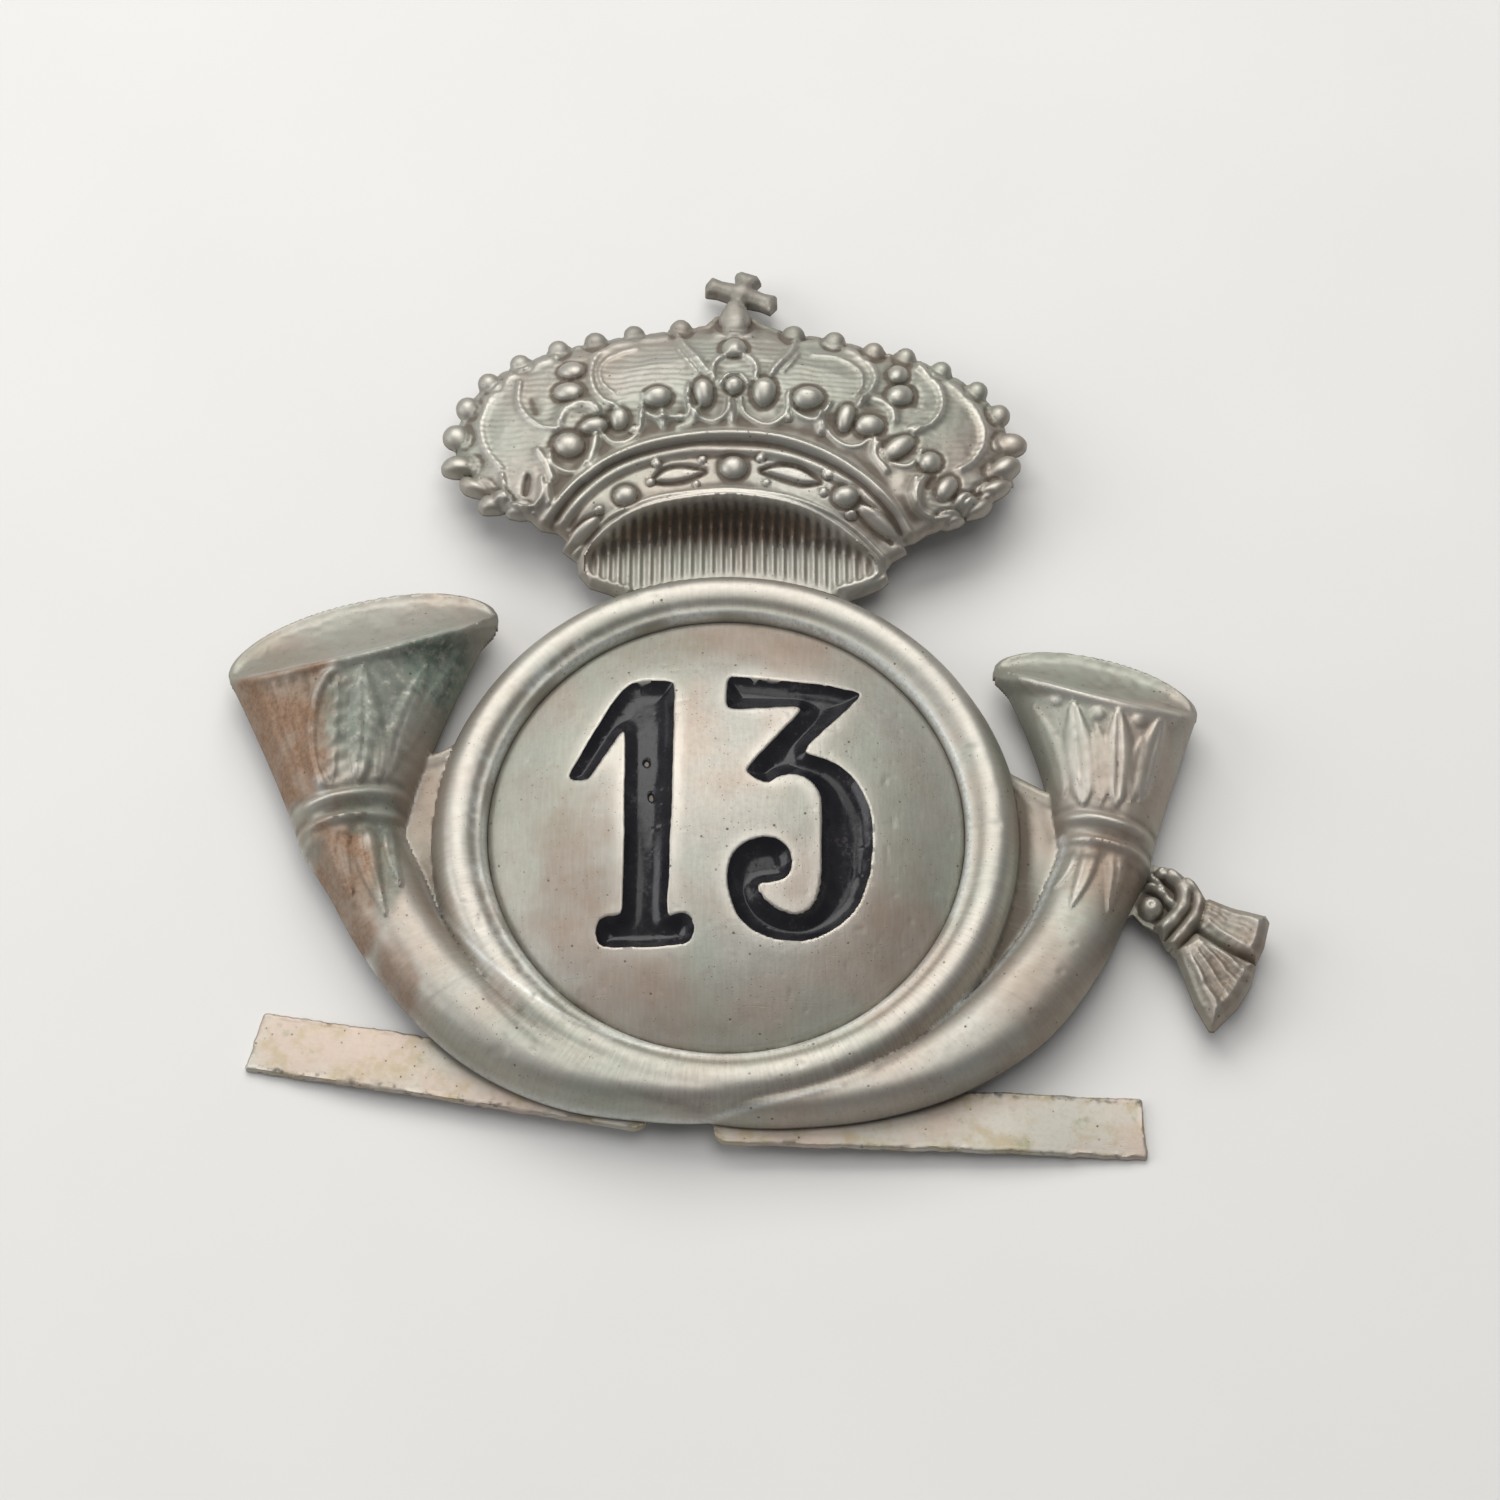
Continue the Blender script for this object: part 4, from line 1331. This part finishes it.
def tassel_shape(u, v):
    f1, f2, f3 = (poly_field(u, v, pts) for pts in (FAN_1, FAN_2, STEM))
    f = np.maximum(np.maximum(f1, f2), f3)
    z = np.full(u.shape, -0.12)
    wave1, r1 = fringe(u, v, (27.2, -4.3), (-42, -14), 3)
    wave2, r2 = fringe(u, v, (26.9, -4.9), (-74, -40), 5.0)
    full1, full2 = np.sqrt(np.clip(f1 / 0.7, 0, 1)), np.sqrt(np.clip(f2 / 0.7, 0, 1))
    z1 = 0.05 + full1 * (0.75 + 0.05 * wave1 + 0.10 * np.sin(r1 * 1.1)) + 0.03 * noise(u, v, 0.3, 121)
    knots = np.sin(r2 * 3.3 + 2.2 * noise(u, v, 0.9, 123)) * np.clip(wave2 + 0.4, 0, 1) * sstep(5.5, 6.5, r2)
    z2 = 0.95 + 0.10 * wave2 * sstep(4.0, 5.6, r2) + 0.05 * knots
    z2 = 0.05 + full2 * z2 + 0.03 * noise(u, v, 0.25, 122)
    z = np.where(f1 > 0, np.maximum(z, z1), z)
    z = np.where(f2 > 0, smax(z, z2, 0.08), z)
    z -= 0.35 * ridge(u, v, FAN_JOIN, 0.16) * (f > 0)
    z -= 0.5 * ridge(u, v, NECK, 0.20)
    for pts, w, h in CORDS:
        d, place = line_dist(u, v, curve(pts, 6))
        twist = 0.07 * np.sin(place * 22 + d * 3)
        cord = -0.1 + (h + twist) * round_top(d / w, 0.7)
        z = smax(z, np.where((d < w) & (f > 0), cord, -0.3), 0.08)
    for cu, cv, a, h in KNOTS:
        q = oval(u, v, cu, cv, a, a)
        z = smax(z, np.where(q < 1, -0.1 + h * round_top(q), -0.3), 0.06)
        z -= 0.12 * bump_at(q * a, 0, 0.17)
    roll = np.clip(f / 0.28, 0, 1)
    z = -0.1 + (z + 0.1) * np.sqrt(1 - (1 - roll) ** 2)
    # the stem passes under the bell
    hidden = sstep(0.25, -0.15, u - 25.45 - 0.333 * (v + 6.5)) * (v > -8)
    z = z + (-0.04 - z) * hidden
    return f, np.maximum(z, -0.3), np.full(u.shape, -0.5)


def tassel_place(p):
    x, y = from_view(p[:, 0], p[:, 1], 0.5, TASSEL_REF_Z)
    return np.stack([x, y, p[:, 2]], 1)


# ---------------------------------------------------------------- crown and tassel pieces
MAT_CROWN = nickel("crown_metal", 41.0, clean=(0.385, 0.375, 0.335), warm=(0.385, 0.32, 0.265), rough=0.55)
MAT_STRAP = strap_metal("strap_metal")
MAT_SOLDER = solder_metal("solder")
CROWN_FOOT = [
    (-5.8, 16.1), (6.8, 16.1), (7.2, 16.3), (7.2, 18.2), (3, 18.9), (-2, 18.9), (-6.2, 18.2), (-6.2, 16.3)]


def crown_brown(u, v):
    """Brown tarnish in the recess."""
    return np.clip(0.75 * sstep(0.3, 1.2, poly_field(u, v, LOWER_RIM)) * sstep(19.6, 20.6, v), 0, 1)


def crown_dark(u, v):
    """Dirt between the rims, between the ribs and at the far edge."""
    band = 0.7 * ridge(u, v, (UPPER_RIM + INNER_RIM) / 2, 0.2)
    between_ribs = 0.5 - 0.5 * rib_wave(u)
    shadow = 0.35 * sstep(19.5, 22, v) + 0.6 * between_ribs * sstep(18.2, 21.2, v)
    shadow = shadow * sstep(0.05, 0.5, poly_field(u, v, RECESS))
    return np.clip(np.maximum(np.maximum(band, shadow), 0.35 * sstep(33.5, 36.5, v)), 0, 1)


def crown_open(u, v):
    """How far tarnish settles in hollows: less on the lower part of the ribs."""
    return 1.8 - 1.15 * sstep(0.05, 0.5, poly_field(u, v, RECESS)) * sstep(20.8, 18.6, v)


def tassel_brown(u, v):
    return np.clip(0.18 + 0.35 * noise(u, v, 1.6, 131), 0, 1)


crown = sheet_piece("crown", (-20, 14.8), (21, 41.5), 0.112, crown_shape, place=crown_place, hollow_r=0.55,
                    more=slab(CROWN_FOOT, -0.45, -0.05),
                    paint={"brown": crown_brown, "green": even(0), "dark": crown_dark, "hollow": crown_open})
put(crown, MAT_CROWN)
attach(crown, "badge")
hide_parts("crown_shell")

tassel = sheet_piece("tassel", (22, -14.4), (34.4, -2.2), 0.07, tassel_shape, place=tassel_place,
                     hollow_r=0.4, paint={"brown": tassel_brown, "green": even(0), "dark": even(0.16),
                                          "hollow": even(1.5)})
put(tassel, MAT_CROWN)
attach(tassel, "badge")
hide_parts("cord_tassel")


# ---------------------------------------------------------------- strap prongs
BEND_Z = -0.4
STRAP_W, STRAP_T, FOOT = 3.9, 0.42, 2.9
TIP_Z = -2.0           # the tips lie just above the floor of the stage
EDGE_W = 0.12          # how far in from its edge a strap is rounded


def strap_piece(name, body, bend, yaw, length, slant, seed):
    """One strip from its soldered foot through the bend to the free tip, drawn in its own plane and then
    laid in place."""
    fall = math.asin((BEND_Z - TIP_Z - STRAP_T / 2) / length)
    c, s = math.cos(math.radians(yaw)), math.sin(math.radians(yaw))

    def height(x, y):
        t = np.clip(x, 0, None)
        sag = 0.22 * np.sin(np.clip(t / length, 0, 1) * math.pi) + 0.05 * np.sin(t * 0.55 + seed)
        curl = -0.05 * (y / 1.95) ** 2 * sstep(0, 5, t)
        uneven = 0.03 * noise(x, y, 2.6, seed) * sstep(0, 2, t)
        return -t * math.sin(fall) + sag * sstep(0, 4, t) + curl + uneven

    def shape(x, y):
        x = x - slant * y * sstep(8, 20, x)
        middle, half = (length * math.cos(fall) - FOOT) / 2, (length * math.cos(fall) + FOOT) / 2
        corner = np.where(x < 0, 0.9, 0.18)
        qx, qy = np.abs(x - middle) - half + corner, np.abs(y) - STRAP_W / 2 + corner
        f = corner - np.hypot(np.maximum(qx, 0), np.maximum(qy, 0)) - np.minimum(np.maximum(qx, qy), 0)
        nick = 0.05 * noise(x, y, 0.7, seed + 1) + 0.03 * noise(x, y, 0.25, seed + 2)
        nick -= 0.22 * np.clip(noise(x, y, 0.8, seed + 3) - 0.62, 0, 1)
        f = f + nick * (x > -1)
        z = height(x, y) + STRAP_T / 2
        edge = np.clip(f / EDGE_W, 0, 1)
        burr = 0.05 * bump_at(f, EDGE_W, 0.08) * (noise(x, y, 0.9, seed + 4) > -0.2)
        return f, z - 0.08 * (1 - edge) ** 2 + burr, z - STRAP_T

    def lay(p):
        x, y, z = p.T
        return np.stack([bend[0] + x * c - y * s, bend[1] + x * s + y * c, BEND_Z + z], 1)

    def soiled(x, y):
        side = sstep(1.45, 1.95, np.abs(y + 0.1)) * sstep(1, 6, x)
        return np.clip(side * (0.8 + 0.6 * noise(x, y, 2.5, seed + 6)), 0, 1)

    ob = sheet_piece(name, (-3.4, -2.4), (length + 0.6, 2.4), 0.125, shape, thick=1.5, place=lay, sharp=50,
                     paint={"dark": soiled, "brown": even(0), "green": even(0)})
    put(ob, MAT_STRAP)
    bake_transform(ob)
    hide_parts(body, body + "_foot")


strap_piece("left_strap", "left_prong", (-7.4, -17.0), 169.3, 22.4, 0.08, 201)
strap_piece("right_strap", "right_prong", (2.2, -18.3), -1.0, 23.7, -0.07, 301)


# ---------------------------------------------------------------- solder
def solder_lump(node, seed):
    """Lumpy run of solder filling the place of a solder node."""
    lo, hi = (np.array(c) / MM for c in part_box(node))
    n, m = 26, 40
    i, j = (g.ravel() for g in np.meshgrid(np.arange(n + 1), np.arange(m), indexing="ij"))
    a, b = math.pi * i / n, 2 * math.pi * j / m
    d = np.stack([np.sin(a) * np.cos(b), np.sin(a) * np.sin(b), np.cos(a)], 1)
    v = np.sign(d) * np.abs(d) ** 0.75
    w = 1 + 0.10 * noise(v[:, 0] * 2, v[:, 1] * 2 + v[:, 2], 0.7, seed)
    w = w + 0.05 * noise(v[:, 0] * 2 + v[:, 2], v[:, 1] * 2, 0.3, seed + 1)
    v = v * (w / 1.16)[:, None] * (hi - lo) / 2 + (lo + hi) / 2
    i, j = i[:-m], j[:-m]
    k = (j + 1) % m
    faces = np.stack([i * m + j, (i + 1) * m + j, (i + 1) * m + k, i * m + k], 1)
    ob = make_mesh(node + "_run", v, faces)
    put(ob, MAT_SOLDER)
    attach(ob, "badge")
    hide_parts(node)


for i, node in enumerate(["left_foot_solder", "right_foot_solder", "crown_solder_left", "crown_solder_right",
                          "disc_solder_left", "disc_solder_right", "tassel_solder"]):
    solder_lump(node, 400 + 10 * i)


# ---------------------------------------------------------------- stage, light and camera
def linked(name, data):
    ob = bpy.data.objects.new(name, data)
    bpy.context.scene.collection.objects.link(ob)
    return ob


def stage_floor():
    """Pale paper under the tips of the straps."""
    n, r, z = 24, 1.6, -2.08 * MM
    pts = [(r * (i / n * 2 - 1), r * (j / n * 2 - 1), z) for i in range(n + 1) for j in range(n + 1)]
    row = n + 1
    quads = [(i * row + j, (i + 1) * row + j, (i + 1) * row + j + 1, i * row + j + 1)
             for i in range(n) for j in range(n)]
    me = bpy.data.meshes.new("floor")
    me.from_pydata(pts, [], quads)
    ob = linked("floor", me)
    m = Mat("floor_paper")
    m.link(m.mix(m.noise(0.05, 3, 0.5, 0.0), (0.70, 0.69, 0.67), (0.74, 0.73, 0.71)), m.p["Base Color"])
    m.link(0.9, m.p["Roughness"])
    put(ob, m.m)


def area_light(name, where, size, power, colour):
    """Soft rectangular light aimed at the middle of the disc."""
    data = bpy.data.lights.new(name, "AREA")
    data.shape = "RECTANGLE"
    data.size, data.size_y = size
    data.energy = power
    data.color = colour
    ob = linked(name, data)
    ob.location = where
    ob.rotation_euler = (-Vector(where)).to_track_quat("-Z", "Y").to_euler()


stage_floor()
area_light("top_soft", (-0.06, 0.34, 0.40), (0.55, 0.36), 2.35, (1.0, 0.985, 0.96))
area_light("overhead", (0.05, 0.02, 0.55), (0.30, 0.30), 0.7, (1.0, 0.99, 0.97))
area_light("left_fill", (-0.44, 0.02, 0.24), (0.34, 0.26), 1.0, (0.97, 0.98, 1.0))

world = bpy.data.worlds.new("studio")
world.use_nodes = True
world.node_tree.nodes["Background"].inputs["Color"].default_value = (0.80, 0.82, 0.85, 1)
world.node_tree.nodes["Background"].inputs["Strength"].default_value = 0.28
bpy.context.scene.world = world

cam = bpy.data.cameras.new("camera")
cam.sensor_width = 36
cam.lens = 101.26
cam.clip_start, cam.clip_end = 0.01, 10
cam_ob = linked("camera", cam)
cam_ob.location = EYE * MM
cam_ob.rotation_euler = Vector(AIM - EYE).to_track_quat("-Z", "Y").to_euler()
bpy.context.scene.camera = cam_ob
bpy.context.scene.view_settings.view_transform = "Standard"
